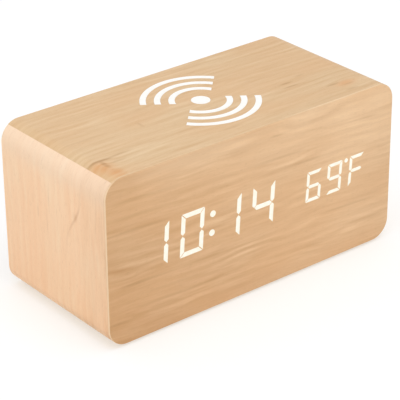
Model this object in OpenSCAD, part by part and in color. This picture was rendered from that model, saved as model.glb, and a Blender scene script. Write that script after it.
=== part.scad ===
// Wooden block clock: a lit time and temperature display behind a veneered front,
// and a charging pad in the top. Millimetres, +Z up, the front faces -Y, and the
// origin is the middle of the footprint on the surface that the clock stands on.

/* [Case] */
// Overall width of the wooden block
body_w = 150; // [147:1:200]
// Overall depth of the wooden block
body_d = 70; // [67:1:100]
// Height of the wooden block without its feet
body_h = 73; // [68:1:100]
// Radius of the four long edges
edge_r = 8.5; // [4:0.5:12]
// Thickness of the four mitred boards
board_t = 6; // [5.5:0.25:7]
// Slant of the boards' joints in the front view, in degrees from level
joint_slant = 62; // [45:1:65]
// Thickness of the front board behind the veneer
front_t = 4.4; // [3.5:0.1:6]
// Thickness of the veneer over the whole front
veneer_t = 0.6; // [0.4:0.1:1]
// Side of the square blocks glued into the rear corners
block_s = 10; // [8:0.5:12]
// Length of the rear corner blocks
block_l = 10.5; // [8:0.5:14]

/* [Feet] */
// Diameter of a rubber foot
foot_d = 12; // [8:0.5:16]
// Height of a rubber foot
foot_h = 2; // [1.6:0.1:3]
// Depth of the recess that a foot is glued into
foot_recess = 1; // [0.5:0.1:1.4]
// Distance from the side of the block to a foot's centre
foot_inset_x = 17; // [12:1:40]
// Distance from the front or back of the block to a foot's centre
foot_inset_y = 11; // [9:1:20]

/* [Display] */
// Height of a time digit
time_h = 18.8; // [15:0.1:22]
// Width of a time digit
time_w = 11.6; // [9:0.1:13]
// Width of a bar of a time digit
time_stroke = 2; // [1.4:0.1:2.4]
// Distance from the left side of the block to the middle of the first time digit
time_x = 23.9; // [23:0.1:25]
// Distance between the two digits of a pair
pair_pitch = 17.8; // [15:0.1:18]
// Distance between the two digits beside the colon
colon_pitch = 19; // [17.5:0.1:19.5]
// Distance between the two dots of the colon
colon_gap = 8.3; // [6:0.1:10]
// Diameter of a dot of the colon
colon_dot = 2.8; // [2:0.1:3]
// Distance of the colon to the right of the middle of its gap
colon_shift = 0.7; // [0:0.1:0.8]
// Height of the colon's middle above the middle of the digits
colon_up = 0.7; // [0:0.1:1.2]
// Height of a temperature digit
temp_h = 13.6; // [11:0.1:16]
// Width of a temperature digit
temp_w = 8; // [6.5:0.1:8.5]
// Width of a bar of a temperature digit
temp_stroke = 1.4; // [1.2:0.1:1.7]
// Distance from the right side of the block to the middle of the first temperature digit
temp_x = 43.9; // [43:0.05:47]
// Distance between the two temperature digits
temp_pitch = 11.5; // [10:0.1:12]
// Distance between the last temperature digit and the letter of its unit
unit_pitch = 12.4; // [12:0.1:13]
// Diameter of the degree dot
degree_dot = 1.9; // [1.4:0.1:2.2]
// Lean of the digits in degrees
lean = 4; // [0:0.5:8]
// Half of the gap between two bars of a digit, along a bar
bar_gap = 0.25; // [0.15:0.05:0.4]
// Height of the digits' middle above the middle of the block
display_up = 1.25; // [0:0.25:6]
// Border of the digit housing round the digits
display_margin = 2; // [1.5:0.1:3]
// Width of the flange behind the front board
flange_w = 4; // [3.6:0.1:4.5]
// Thickness of the flange behind the front board
flange_t = 3.6; // [2:0.1:5]
// Thickness of the diffuser film
film_t = 0.2; // [0.1:0.05:0.4]
// Length of a light chip
chip_l = 1; // [0.8:0.1:1.1]
// Width and height of a light chip
chip_w = 0.5; // [0.4:0.1:0.6]

/* [Charging pad] */
// Distance of the coil and its mark behind the middle of the top
coil_y = 0.75; // [0:0.25:3]
// Outer diameter of the coil
coil_d = 44; // [38:1:46]
// Diameter of the hole in the coil
coil_hole = 20; // [16:1:24]
// Thickness of the coil
coil_t = 1.2; // [0.8:0.1:1.4]
// Side of the square ferrite sheet and of the charger's circuit board
ferrite_s = 48; // [47:0.5:49]
// Thickness of the ferrite sheet
ferrite_t = 1; // [0.6:0.1:1.2]
// Thickness of the charger's circuit board
charger_t = 1; // [0.8:0.1:1.2]
// Width of the bracket under the charger
bracket_w = 62; // [60:1:70]
// Depth of the bracket under the charger
bracket_d = 44; // [42:1:46]
// Side of the window in the bracket
bracket_window = 36; // [35:0.5:38]
// Thickness of the bracket
bracket_t = 1.5; // [1:0.1:2]
// Diameter of the mark's dot
mark_dot = 8; // [6:0.1:9]
// Middle radius of the mark's first arc
mark_r = 11.95; // [10:0.05:12]
// Distance from one arc to the next
mark_step = 5.9; // [5:0.1:6.5]
// Width of an arc
mark_band = 2.6; // [2:0.1:3]
// Half of the angle between the lines that the arcs' ends lie on
mark_open = 49; // [40:0.5:55]
// Distance of those lines' crossing beyond the mark's middle
mark_apex = 4.5; // [0:0.1:6]
// Distance of the mark to the right of the coil's middle
mark_x = 0.35; // [0:0.05:1]
// Turn of the mark on the top, in degrees
mark_turn = 4.5; // [0:0.5:10]
// Depth of the mark's inlay
mark_depth = 0.3; // [0.2:0.05:0.6]

/* [Back panel] */
// Thickness of the back panel
panel_t = 3.5; // [3.2:0.1:4.5]
// Distance of the panel's face inside the back edge of the block
panel_recess = 1; // [0.8:0.1:2]
// Distance from the panel to the main circuit board
board_gap = 6.5; // [6.3:0.1:8]
// Diameter of the posts that carry the main circuit board
post_d = 6; // [5:0.5:7]
// Number of vent slots
vent_count = 5; // [3:1:5]
// Width of a vent slot
vent_w = 1.6; // [1:0.1:2]
// Length of a vent slot
vent_l = 12; // [8:0.5:14]
// Distance between two vent slots
vent_pitch = 3.6; // [3:0.1:3.8]
// Diameter of a sound hole
sound_hole_d = 1.6; // [1:0.1:2]
// Radius of the ring of sound holes
sound_ring_r = 3.6; // [3:0.1:4.5]

/* [Buttons] */
// Diameter of a button
button_d = 7; // [5:0.5:8]
// Distance of the buttons' faces beyond the panel
button_proud = 0.7; // [0.5:0.1:0.8]
// Travel of a button
button_travel = 0.5; // [0.3:0.05:0.6]
// Width of the rim that keeps a button behind the panel
rim_w = 1.2; // [0.8:0.1:1.6]
// Thickness of that rim
rim_t = 1; // [0.8:0.1:1.2]
// Middle of the first button, from the middle of the clock
button_x = -38; // [-39:0.5:-36]
// Distance between two buttons
button_pitch = 16; // [13:0.5:18]
// Height of the buttons above the middle of the block
button_up = 10; // [6:0.5:12]
// Side of a switch's square body
switch_s = 6; // [5:0.1:7]
// Height of a switch's body
switch_h = 3.5; // [3:0.1:3.8]
// Diameter of a switch's plunger
plunger_d = 3.5; // [2.5:0.1:4]
// Length of the plunger inside the switch
plunger_in = 0.7; // [0.5:0.1:1]
// Height of the raised mark on a button
button_mark = 0.2; // [0.1:0.05:0.3]

/* [Battery door] */
// Side of the square opening for the reserve cell
door_s = 25; // [24:0.5:26]
// Thickness of the door
door_t = 2.2; // [1.8:0.1:2.4]
// Distance of the door's face inside the panel's face
door_sunk = 0.3; // [0.2:0.1:0.5]
// Diameter of the door's hinge pins
pin_d = 1.2; // [1:0.1:1.4]
// Length of a hinge pin
pin_l = 2; // [1.5:0.1:3]
// Width of the ledge that the door closes on
ledge_w = 1; // [0.6:0.1:1.4]
// Middle of the door, from the middle of the clock
cell_x = 32; // [31:0.5:33]
// Height of the door's middle above the middle of the block
cell_up = 3.5; // [2:0.5:4]
// Diameter of the finger notch under the door
notch_d = 9; // [6:0.5:11]
// Number of grip lines on the door
grip_count = 3; // [1:1:4]
// Length of a grip line
grip_w = 10; // [6:0.5:16]
// Width of a grip line
grip_d = 1; // [0.6:0.1:1.2]

/* [Circuit] */
// Width of the main circuit board
main_w = 104; // [102:1:108]
// Height of the main circuit board
main_h = 38; // [37:0.5:40]
// Thickness of the two large circuit boards
pcb_t = 1.6; // [1:0.1:2]
// Distance from the board's edges to a screw
screw_inset = 4; // [3.6:0.1:4.5]
// Diameter of the reserve cell
cell_d = 20; // [19:0.5:20.5]
// Thickness of the reserve cell
cell_t = 3.2; // [2.5:0.1:3.2]
// Side of the square cell holder
holder_s = 24; // [23.5:0.1:24.5]
// Thickness of the holder's floor
holder_floor = 1; // [0.6:0.1:1.2]
// Width of the lips that keep the cell in its holder
lip_w = 6; // [4:0.5:8]
// Thickness of those lips
lip_t = 0.8; // [0.6:0.1:1]
// Length of a lip over the cell's edge
lip_over = 1; // [0.6:0.1:1.5]
// Thickness of the contact under the cell
contact_t = 0.3; // [0.2:0.05:0.4]
// Width of that contact
contact_w = 10; // [6:0.5:14]
// Height of that contact
contact_h = 4; // [3:0.5:8]
// Width of the step round the cell's smaller face
cell_step = 1.2; // [0.8:0.1:1.6]
// Depth of that step
cell_step_t = 0.3; // [0.2:0.1:0.5]
// Diameter of the buzzer
buzzer_d = 12; // [10:0.5:13]
// Height of the buzzer
buzzer_h = 5.5; // [4:0.1:5.8]
// Diameter of the hole in the buzzer's top
buzzer_hole = 2; // [1:0.1:3]
// Middle of the buzzer, from the middle of the clock
buzzer_x = -30; // [-33:0.5:-27]
// Depth of the buzzer below the middle of the block
buzzer_drop = 9.5; // [8:0.5:11]
// Diameter of the microphone
mic_d = 6; // [4:0.5:7]
// Height of the microphone
mic_h = 2.7; // [2:0.1:4]
// Middle of the microphone, from the middle of the clock
mic_x = 10; // [8:0.5:12]
// Diameter of the temperature bead
bead_d = 3; // [2:0.1:3.4]
// Distance of the bead from the back panel
bead_gap = 1; // [0.6:0.1:1.5]
// Diameter of the bead's two legs
leg_d = 0.5; // [0.4:0.1:0.7]
// Middle of the temperature bead and the vents, from the middle of the clock
vent_x = 10; // [9:0.5:10.5]
// Depth of the bead and the vents below the middle of the block
vent_drop = 10; // [9:0.5:11]
// Width of the power socket
usb_w = 9; // [8.6:0.1:9.4]
// Height of the power socket
usb_h = 3.2; // [3:0.1:3.6]
// Wall of the power socket
usb_wall = 0.35; // [0.3:0.05:0.4]
// Depth of the power socket's mouth
usb_depth = 7; // [5:0.1:8]
// Width of the tongue in the power socket
tongue_w = 6.6; // [6:0.1:7]
// Thickness of that tongue
tongue_t = 0.7; // [0.5:0.1:0.9]
// Distance of that tongue inside the socket's mouth
tongue_back = 0.8; // [0.5:0.1:1.5]
// Middle of the power socket, from the middle of the clock
usb_x = -6; // [-8:0.5:-5]
// Depth of the power socket below the middle of the block
usb_drop = 12; // [10:0.5:14]
// Width of the display's flat cable
ribbon_w = 12; // [8:0.5:14]
// Thickness of the display's flat cable
ribbon_t = 0.5; // [0.3:0.1:0.8]
// Middle of the flat cable, from the middle of the clock
ribbon_x = -16; // [-24:0.5:-14]
// Width of the charger's lead
lead_w = 3; // [2:0.1:4]
// Thickness of the charger's lead
lead_t = 1; // [0.6:0.1:1]
// Middle of the charger's lead, from the middle of the clock
lead_x = 12; // [11:0.5:13]
// Distance of the lead's upper socket behind the coil's middle
lead_behind = 10; // [8:0.5:12]
// Height of the lead's lower socket above the middle of the block
lead_up = 13; // [11:0.5:14]
// Depth of the flat cable's lower socket below the middle of the block
ribbon_drop = 8; // [4:0.5:12]
// Height of the plug-in sockets
socket_h = 3; // [2.6:0.1:3.2]
// Depth of the plug-in sockets
socket_d = 5; // [4:0.1:6]
// Border of a plug-in socket beside its cable
socket_side = 2; // [1:0.1:2.5]
// Length over which a cable leaves its socket straight
cable_reach = 16; // [10:1:18]
// Width of the display's driver chip
driver_w = 10; // [8:0.5:14]
// Height of the display's driver chip
driver_h = 6; // [4:0.5:8]
// Thickness of the display's driver chip
driver_t = 1.8; // [1:0.1:2.4]
// Side of the charger's control chip
control_s = 7; // [5:0.5:8]
// Thickness of the charger's control chip
control_t = 1; // [0.8:0.1:1.5]
// Diameter of the charger's choke
choke_d = 8; // [6:0.5:9]
// Height of the charger's choke
choke_h = 3; // [2:0.1:4]
// Width of the charger's capacitor
capacitor_w = 4; // [3:0.1:5]
// Depth of the charger's capacitor
capacitor_d = 3; // [2:0.1:4]
// Height of the charger's capacitor
capacitor_h = 2; // [1:0.1:3]
// Side of the clock chip
clock_s = 9; // [6:0.5:10]
// Thickness of the clock chip
clock_t = 1.6; // [1:0.1:2]
// Diameter of the crystal's can
can_d = 2; // [1.5:0.1:3]
// Length of the crystal's can
can_l = 6; // [5:0.5:8]

/* [Screws] */
// Diameter of the small screws
screw_d = 2; // [1.6:0.1:2.2]
// Diameter of the small screws' heads
head_d = 3.6; // [3.2:0.1:4]
// Height of the small screws' heads
head_h = 1.3; // [1:0.1:1.5]
// Length of thread in the piece that a small screw holds to
bite = 3; // [2:0.1:3.2]
// Diameter of the back panel's screws
back_screw_d = 2.5; // [2:0.1:3]
// Diameter of the back panel's screw heads
back_head_d = 4.6; // [4:0.1:5]
// Height of the back panel's screw heads
back_head_h = 1.4; // [1:0.1:1.6]
// Length of thread of a back panel's screw in its block
back_bite = 8; // [5:0.5:9]
// Wood left above the charger's screws
screw_skin = 2; // [1.5:0.1:2.5]
// Length of a screw's slot in its head, as a share of the head
slot_share = 0.7; // [0.5:0.05:0.8]
// Width of a screw's slot, as a share of the head
slot_width_share = 0.2; // [0.1:0.05:0.25]

/* [Fits] */
// Gap round the back panel, the digit housing and the charger in their openings
panel_gap = 0.2; // [0.1:0.05:0.3]
// Gap round a button, and between its rim and the panel
button_gap = 0.3; // [0.2:0.05:0.3]
// Gap round the battery door
door_gap = 0.3; // [0.2:0.05:0.3]
// Running gap round a hinge pin
pin_gap = 0.05; // [0.03:0.01:0.08]
// Gap round a screw in a hole that it passes through
screw_gap = 0.2; // [0.1:0.05:0.2]
// Gap round a thread in the pilot hole that it cuts into
thread_gap = 0.03; // [0.02:0.01:0.05]

/* [Hidden] */
$fn = 64;
// Extra length of a cut, so that it leaves no skin
past = 1;

// Planes of the case
base_z = foot_h - foot_recess;
top_z = base_z + body_h;
mid_z = base_z + body_h / 2;
front_y = -body_d / 2;
back_y = body_d / 2;
in_x = body_w / 2 - board_t;
in_bottom = base_z + board_t;
in_top = top_z - board_t;
cut_x = in_x + 2 * board_t;
joint_x = in_x + 2 * board_t / tan(joint_slant);
in_h = in_top - in_bottom;
veneer_back = front_y + veneer_t;
front_back = veneer_back + front_t;
panel_out = back_y - panel_recess;
panel_in = panel_out - panel_t;

// Places of the digits
lean_run = tan(lean);
display_z = mid_z + display_up;
time_start = time_x - body_w / 2;
temp_start = body_w / 2 - temp_x;
time_places = [time_start, time_start + pair_pitch, time_start + pair_pitch + colon_pitch,
               time_start + 2 * pair_pitch + colon_pitch];
temp_places = [temp_start, temp_start + temp_pitch, temp_start + temp_pitch + unit_pitch];
colon_x = time_start + pair_pitch + colon_pitch / 2 + colon_shift;
degree_x = temp_start + temp_pitch + unit_pitch / 2;
degree_up = temp_h / 2 - degree_dot / 2;
// Bars that are lit for ten fourteen and for sixty-nine degrees, and all bars of a digit
time_lit = ["bc", "abcdef", "bc", "bcfg"];
temp_lit = ["acdefg", "abcdfg", "aefg"];
all_bars = "abcdefg";

// Digit housing, in front view and in depth
display_left = time_start - time_w / 2 - time_h / 2 * lean_run - display_margin;
display_right = temp_places[2] + temp_w / 2 + temp_h / 2 * lean_run + display_margin;
display_w = display_right - display_left;
display_h = time_h + 2 * display_margin;
display_x = (display_left + display_right) / 2;
housing_front = veneer_back + film_t;
led_front = front_back + flange_t;
led_back = led_front + pcb_t;
display_screw_x = display_w / 2 + flange_w / 2;
display_screw_z = display_h / 2 - head_d / 2;

// Charging pad, from the top down
pocket_s = ferrite_s + 2 * panel_gap;
ferrite_top = in_top + charger_t + ferrite_t;
pocket_top = ferrite_top + coil_t;
bracket_bottom = in_top - bracket_t;
charger_screw_x = (bracket_w + pocket_s) / 4;
charger_screw_y = bracket_d / 2 - head_d;
charger_bite = board_t - screw_skin;

// Main circuit board
main_back = panel_in - board_gap;
main_front = main_back - pcb_t;
post_x = main_w / 2 - screw_inset;
post_z = main_h / 2 - screw_inset;

// Buttons, from the panel inwards
button_z = mid_z + button_up;
rim_out = panel_in - button_gap;
rim_in = rim_out - rim_t;
switch_top = main_back + switch_h;
plunger_end = switch_top - plunger_in;
plunger_well = plunger_in + button_travel + button_gap;

// Corner radius of the power socket
usb_r = usb_h / 2 - usb_wall;

// Reserve cell and its door
cell_z = mid_z + cell_up;
contact_front = main_back + holder_floor + contact_t;
cell_out = contact_front + cell_t;
door_out = panel_out - door_sunk;
door_in = door_out - door_t;
door_w = door_s - 2 * door_gap;
hinge_y = door_out - door_t / 2;
hinge_z = cell_z + door_s / 2 - door_gap - door_t / 2;
door_bottom = cell_z - door_s / 2 + door_gap;

// Sockets and cables
ribbon_plug_w = ribbon_w + 2 * socket_side;
lead_plug_w = lead_w + 2 * socket_side;
ribbon_low = mid_z - ribbon_drop;
lead_y = coil_y + lead_behind;
lead_z = mid_z + lead_up;
lead_high = in_top - socket_h + lead_t / 2;
ribbon_path = [[led_back + socket_h, display_z], [led_back + socket_h + cable_reach, display_z],
               [main_front - socket_h - cable_reach, ribbon_low], [main_front - socket_h, ribbon_low]];
lead_path = [[lead_y - socket_d / 2, lead_high], [lead_y - socket_d / 2 - cable_reach, lead_high],
             [main_front - socket_h - cable_reach, lead_z], [main_front - socket_h, lead_z]];
cable_steps = 14;

// Finishes
wood = [0.89, 0.76, 0.61];
inner_wood = [0.76, 0.6, 0.42];
white = [0.96, 0.95, 0.92];
lit = [1, 0.98, 0.9];
black = [0.09, 0.09, 0.1];
grey = [0.55, 0.56, 0.58];
steel = [0.72, 0.73, 0.75];
green = [0.1, 0.36, 0.2];
copper = [0.75, 0.43, 0.22];
gold = [0.83, 0.68, 0.33];

// Corners of a bar of a digit with its middle at the origin, before the digit leans
function bar(s, w, h, t) =
    s == "a" ? [[-w / 2 + bar_gap, h / 2], [w / 2 - bar_gap, h / 2],
                [w / 2 - t - bar_gap, h / 2 - t], [-w / 2 + t + bar_gap, h / 2 - t]]
    : s == "b" ? [[w / 2, h / 2 - bar_gap], [w / 2, t / 2 + bar_gap], [w / 2 - t / 2, bar_gap],
                  [w / 2 - t, t / 2 + bar_gap], [w / 2 - t, h / 2 - t - bar_gap]]
    : s == "g" ? [[-w / 2 + t / 2 + bar_gap, 0], [-w / 2 + t + bar_gap, t / 2],
                  [w / 2 - t - bar_gap, t / 2], [w / 2 - t / 2 - bar_gap, 0],
                  [w / 2 - t - bar_gap, -t / 2], [-w / 2 + t + bar_gap, -t / 2]]
    : s == "c" ? turned(bar("b", w, h, t), 1, -1)
    : s == "d" ? turned(bar("a", w, h, t), 1, -1)
    : s == "e" ? turned(bar("b", w, h, t), -1, -1)
    : turned(bar("b", w, h, t), -1, 1);

// The points of an outline mirrored across one or both axes
function turned(points, sx, sz) = [for (p = points) [p[0] * sx, p[1] * sz]];

// Middle of a bar of a digit
function bar_middle(s, w, h, t) =
    let (x = (w - t) / 2, z = (h - t) / 2)
    s == "a" ? [0, z] : s == "b" ? [x, h / 4] : s == "c" ? [x, -h / 4] : s == "d" ? [0, -z]
    : s == "e" ? [-x, -h / 4] : s == "f" ? [-x, h / 4] : [0, 0];

// A point of a digit in the front view, leaning to the right
function leaned(x, p) = [x + p[0] + p[1] * lean_run, display_z + p[1]];

// A point of a curve with four guide points, and the direction square to it there
function curve_point(p, t) =
    pow(1 - t, 3) * p[0] + 3 * t * pow(1 - t, 2) * p[1] + 3 * t * t * (1 - t) * p[2] + pow(t, 3) * p[3];
function curve_run(p, t) =
    pow(1 - t, 2) * (p[1] - p[0]) + 2 * t * (1 - t) * (p[2] - p[1]) + t * t * (p[3] - p[2]);
function curve_side(p, t) = let (d = curve_run(p, t)) [-d[1], d[0]] / norm(d);

// A front view drawn in X and Z, given depth from y0 back to y1
module slab(y0, y1) {
    translate([0, y1, 0])
        rotate([90, 0, 0])
            linear_extrude(y1 - y0)
                children();
}

// A rectangle with round corners, from squares and true circles
module round_rect(w, h, r) {
    square([w - 2 * r, h], center = true);
    square([w, h - 2 * r], center = true);
    for (x = [-1, 1], y = [-1, 1])
        translate([x * (w / 2 - r), y * (h / 2 - r)])
            circle(r);
}

// An upright slot with round ends
module slot(w, l) {
    square([w, l - w], center = true);
    for (y = [-1, 1])
        translate([0, y * (l - w) / 2])
            circle(d = w);
}

// A round bar along +Y from y0 to y1
module bar_y(x, z, y0, y1, d) {
    translate([x, y0, z])
        rotate([-90, 0, 0])
            cylinder(h = y1 - y0, d = d);
}

// A box by its front view's middle and its depth
module box_y(x, z, y0, y1, w, h) {
    translate([x - w / 2, y0, z - h / 2])
        cube([w, y1 - y0, h]);
}

// A pan head screw along -Z, with the underside of its head at the origin
module pan_screw(d, l, hd, hh) {
    difference() {
        union() {
            translate([0, 0, -l])
                cylinder(h = l, d = d);
            cylinder(h = hh, d = hd);
        }
        for (a = [0, 90])
            rotate([0, 0, a])
                translate([0, 0, hh])
                    cube([hd * slot_share, hd * slot_width_share, hh], center = true);
    }
}

// The four corners of a rectangle, as places for copies
module at_corners(x, y) {
    for (sx = [-1, 1], sy = [-1, 1])
        translate([sx * x, sy * y, 0])
            children();
}

// The block's outline and its hollow in the front view
module case_outline() {
    translate([0, mid_z])
        round_rect(body_w, body_h, edge_r);
}
module hollow_outline() {
    translate([0, mid_z])
        square([2 * in_x, in_h], center = true);
}

// One of the four boards, cut on a slant where it meets the next
module mitred_board(corners) {
    slab(veneer_back, back_y)
        intersection() {
            difference() {
                case_outline();
                hollow_outline();
            }
            polygon(corners);
        }
}

// The bars and dots of the display in the front view
module digit_bars(places, bars, w, h, t) {
    for (i = [0 : len(places) - 1])
        for (k = [0 : len(bars[i]) - 1])
            polygon([for (p = bar(bars[i][k], w, h, t)) leaned(places[i], p)]);
}
module colon_dots() {
    for (up = [-1, 1])
        translate(leaned(colon_x, [0, colon_up + up * colon_gap / 2]))
            circle(d = colon_dot);
}
module degree_mark() {
    translate(leaned(degree_x, [0, degree_up]))
        circle(d = degree_dot);
}
module time_outline() {
    digit_bars(time_places, time_lit, time_w, time_h, time_stroke);
    colon_dots();
}
module temperature_outline() {
    digit_bars(temp_places, temp_lit, temp_w, temp_h, temp_stroke);
    degree_mark();
}
module all_cells() {
    digit_bars(time_places, [for (i = time_places) all_bars], time_w, time_h, time_stroke);
    digit_bars(temp_places, [for (i = temp_places) all_bars], temp_w, temp_h, temp_stroke);
    colon_dots();
    degree_mark();
}
module display_rect(grow, grow_z) {
    translate([display_x, display_z])
        square([display_w + 2 * grow, display_h + 2 * grow_z], center = true);
}
module display_screw_places() {
    for (sx = [-1, 1], sz = [-1, 1])
        translate([display_x + sx * display_screw_x, led_back, display_z + sz * display_screw_z])
            rotate([-90, 0, 0])
                children();
}

// The mark of a dot and two groups of arcs in the top view
module mark_outline() {
    reach = 2 * (mark_r + 2 * mark_step);
    translate([mark_x, coil_y]) rotate(mark_turn) {
        circle(d = mark_dot);
        for (side = [-1, 1])
            intersection() {
                for (i = [0 : 2])
                    difference() {
                        circle(mark_r + i * mark_step + mark_band / 2);
                        circle(mark_r + i * mark_step - mark_band / 2);
                    }
                polygon([[0, -side * mark_apex],
                         [reach * sin(mark_open), side * (reach * cos(mark_open) - mark_apex)],
                         [-reach * sin(mark_open), side * (reach * cos(mark_open) - mark_apex)]]);
            }
    }
}
module charger_screw_places() {
    translate([0, coil_y, bracket_bottom])
        at_corners(charger_screw_x, charger_screw_y)
            rotate([180, 0, 0])
                children();
}

// The rear corner blocks' middles in the front view
module block_places() {
    for (sx = [-1, 1], sz = [-1, 1])
        translate([sx * (in_x - block_s / 2), 0, mid_z + sz * (in_h - block_s) / 2])
            children();
}
module foot_places() {
    at_corners(body_w / 2 - foot_inset_x, body_d / 2 - foot_inset_y)
        children();
}

// A flat cable along a curve in the side view
module flat_cable(x, path, w, t) {
    upper = [for (i = [0 : cable_steps])
        curve_point(path, i / cable_steps) + curve_side(path, i / cable_steps) * t / 2];
    lower = [for (i = [cable_steps : -1 : 0])
        curve_point(path, i / cable_steps) - curve_side(path, i / cable_steps) * t / 2];
    translate([x - w / 2, 0, 0])
        rotate([90, 0, 90])
            linear_extrude(w)
                polygon(concat(upper, lower));
}

// A thin sheet of wood over the whole front, cut where the display shines
module front_veneer() {
    color(wood)
        slab(front_y, veneer_back)
            difference() {
                case_outline();
                time_outline();
                temperature_outline();
            }
}

// The front board between the four boards, with a window for the digit housing
module front_board() {
    color(inner_wood)
        difference() {
            slab(veneer_back, front_back)
                difference() {
                    hollow_outline();
                    display_rect(panel_gap, panel_gap);
                }
            display_screw_places()
                translate([0, 0, -pcb_t - flange_t - bite])
                    cylinder(h = bite + past, d = screw_d + 2 * thread_gap);
        }
}

// The top board, with the mark's inlay on top and the charger's pocket below
module top_board() {
    color(wood)
        difference() {
            mitred_board([[-in_x, in_top], [in_x, in_top], [joint_x, in_top + 2 * board_t],
                          [-joint_x, in_top + 2 * board_t]]);
            translate([0, 0, top_z - mark_depth])
                linear_extrude(mark_depth + past)
                    mark_outline();
            translate([-pocket_s / 2, coil_y - pocket_s / 2, in_top - past])
                cube([pocket_s, pocket_s, pocket_top - in_top + past]);
            charger_screw_places()
                translate([0, 0, -bracket_t - charger_bite])
                    cylinder(h = charger_bite + bracket_t / 2, d = screw_d + 2 * thread_gap);
        }
}

// The bottom board, with four recesses for the feet
module bottom_board() {
    color(wood)
        difference() {
            mitred_board([[-in_x, in_bottom], [in_x, in_bottom], [joint_x, in_bottom - 2 * board_t],
                          [-joint_x, in_bottom - 2 * board_t]]);
            foot_places()
                translate([0, 0, base_z - past])
                    cylinder(h = foot_recess + past, d = foot_d + panel_gap);
        }
}

// The two side boards
module side_board(side) {
    color(wood)
        mitred_board([[side * in_x, in_bottom], [side * in_x, in_top], [side * joint_x, in_top + 2 * board_t],
                      [side * cut_x, in_top + 2 * board_t], [side * cut_x, in_bottom - 2 * board_t],
                      [side * joint_x, in_bottom - 2 * board_t]]);
}
module left_board() {
    side_board(-1);
}
module right_board() {
    side_board(1);
}

// Four blocks that hold the back panel's screws
module corner_blocks() {
    color(inner_wood)
        block_places()
            difference() {
                box_y(0, 0, panel_in - block_l, panel_in, block_s, block_s);
                bar_y(0, 0, panel_in - back_bite, panel_in + past, back_screw_d + 2 * thread_gap);
            }
}

// Four rubber feet
module foot_pads() {
    color(black)
        foot_places()
            cylinder(h = foot_h, d = foot_d);
}

// The white inlay in the top
module charge_mark() {
    color(white)
        translate([0, 0, top_z - mark_depth])
            linear_extrude(mark_depth)
                mark_outline();
}

// The lit bars of the time and of the temperature, flush with the veneer
module time_segments() {
    color(lit)
        slab(front_y, veneer_back)
            time_outline();
}
module temperature_segments() {
    color(lit)
        slab(front_y, veneer_back)
            temperature_outline();
}

// A thin white film that spreads the light
module diffuser_film() {
    color(white)
        slab(veneer_back, housing_front)
            display_rect(0, 0);
}

// The digit housing, with one light well for each bar and dot
module digit_housing() {
    color(white)
        difference() {
            union() {
                slab(housing_front, front_back)
                    display_rect(0, 0);
                slab(front_back, led_front)
                    display_rect(flange_w, flange_w);
            }
            slab(housing_front - past, led_front + past)
                all_cells();
            display_screw_places()
                translate([0, 0, -pcb_t - flange_t - past])
                    cylinder(h = flange_t + 2 * past, d = screw_d + 2 * screw_gap);
        }
}

// One light chip in each well
module chip_at(p) {
    translate([p[0] - chip_l / 2, led_front - chip_w, p[1] - chip_w / 2])
        cube([chip_l, chip_w, chip_w]);
}
module digit_chips(places, w, h, t) {
    for (x = places)
        for (k = [0 : len(all_bars) - 1])
            chip_at(leaned(x, bar_middle(all_bars[k], w, h, t)));
}
module segment_leds() {
    color(gold) {
        digit_chips(time_places, time_w, time_h, time_stroke);
        digit_chips(temp_places, temp_w, temp_h, temp_stroke);
        for (up = [-1, 1])
            chip_at(leaned(colon_x, [0, colon_up + up * colon_gap / 2]));
        chip_at(leaned(degree_x, [0, degree_up]));
    }
}

// The display's circuit board, on the back of the housing
module led_board() {
    color(green)
        difference() {
            slab(led_front, led_back)
                display_rect(flange_w, flange_w);
            display_screw_places()
                translate([0, 0, -pcb_t - past])
                    cylinder(h = pcb_t + 2 * past, d = screw_d + 2 * screw_gap);
        }
}

// The chip that drives the display
module display_driver() {
    color(black)
        box_y(-ribbon_x, display_z, led_back, led_back + driver_t, driver_w, driver_h);
}

// Four screws through the display's board and housing into the front board
module display_screws() {
    color(steel)
        display_screw_places()
            pan_screw(screw_d, pcb_t + flange_t + bite - thread_gap, head_d, head_h);
}

// The flat coil, its ferrite sheet and its circuit board, stacked in the pocket
module charge_coil() {
    color(copper)
        translate([0, coil_y, ferrite_top])
            difference() {
                cylinder(h = coil_t, d = coil_d);
                translate([0, 0, -past])
                    cylinder(h = coil_t + 2 * past, d = coil_hole);
            }
}
module ferrite_sheet() {
    color(grey)
        translate([-ferrite_s / 2, coil_y - ferrite_s / 2, in_top + charger_t])
            cube([ferrite_s, ferrite_s, ferrite_t]);
}
module charger_board() {
    color(green)
        translate([-ferrite_s / 2, coil_y - ferrite_s / 2, in_top])
            cube([ferrite_s, ferrite_s, charger_t]);
}

// The control chip, the choke and a capacitor under the charger's board
module charger_parts() {
    color(black) {
        translate([-bracket_window / 4 - control_s / 2, coil_y - control_s, in_top - control_t])
            cube([control_s, control_s, control_t]);
        translate([bracket_window / 4, coil_y - choke_d / 2, in_top - choke_h])
            cylinder(h = choke_h, d = choke_d);
        translate([-bracket_window / 4, coil_y + capacitor_d, in_top - capacitor_h])
            cube([capacitor_w, capacitor_d, capacitor_h]);
    }
}

// A plate under the charger, screwed to the top board on both sides of the pocket
module charger_bracket() {
    color(white)
        difference() {
            translate([-bracket_w / 2, coil_y - bracket_d / 2, bracket_bottom])
                cube([bracket_w, bracket_d, bracket_t]);
            translate([-bracket_window / 2, coil_y - bracket_window / 2, bracket_bottom - past])
                cube([bracket_window, bracket_window, bracket_t + 2 * past]);
            charger_screw_places()
                translate([0, 0, -bracket_t - past])
                    cylinder(h = bracket_t + 2 * past, d = screw_d + 2 * screw_gap);
        }
}
module charger_screws() {
    color(steel)
        charger_screw_places()
            pan_screw(screw_d, bracket_t + charger_bite - thread_gap, head_d, head_h);
}

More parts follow.
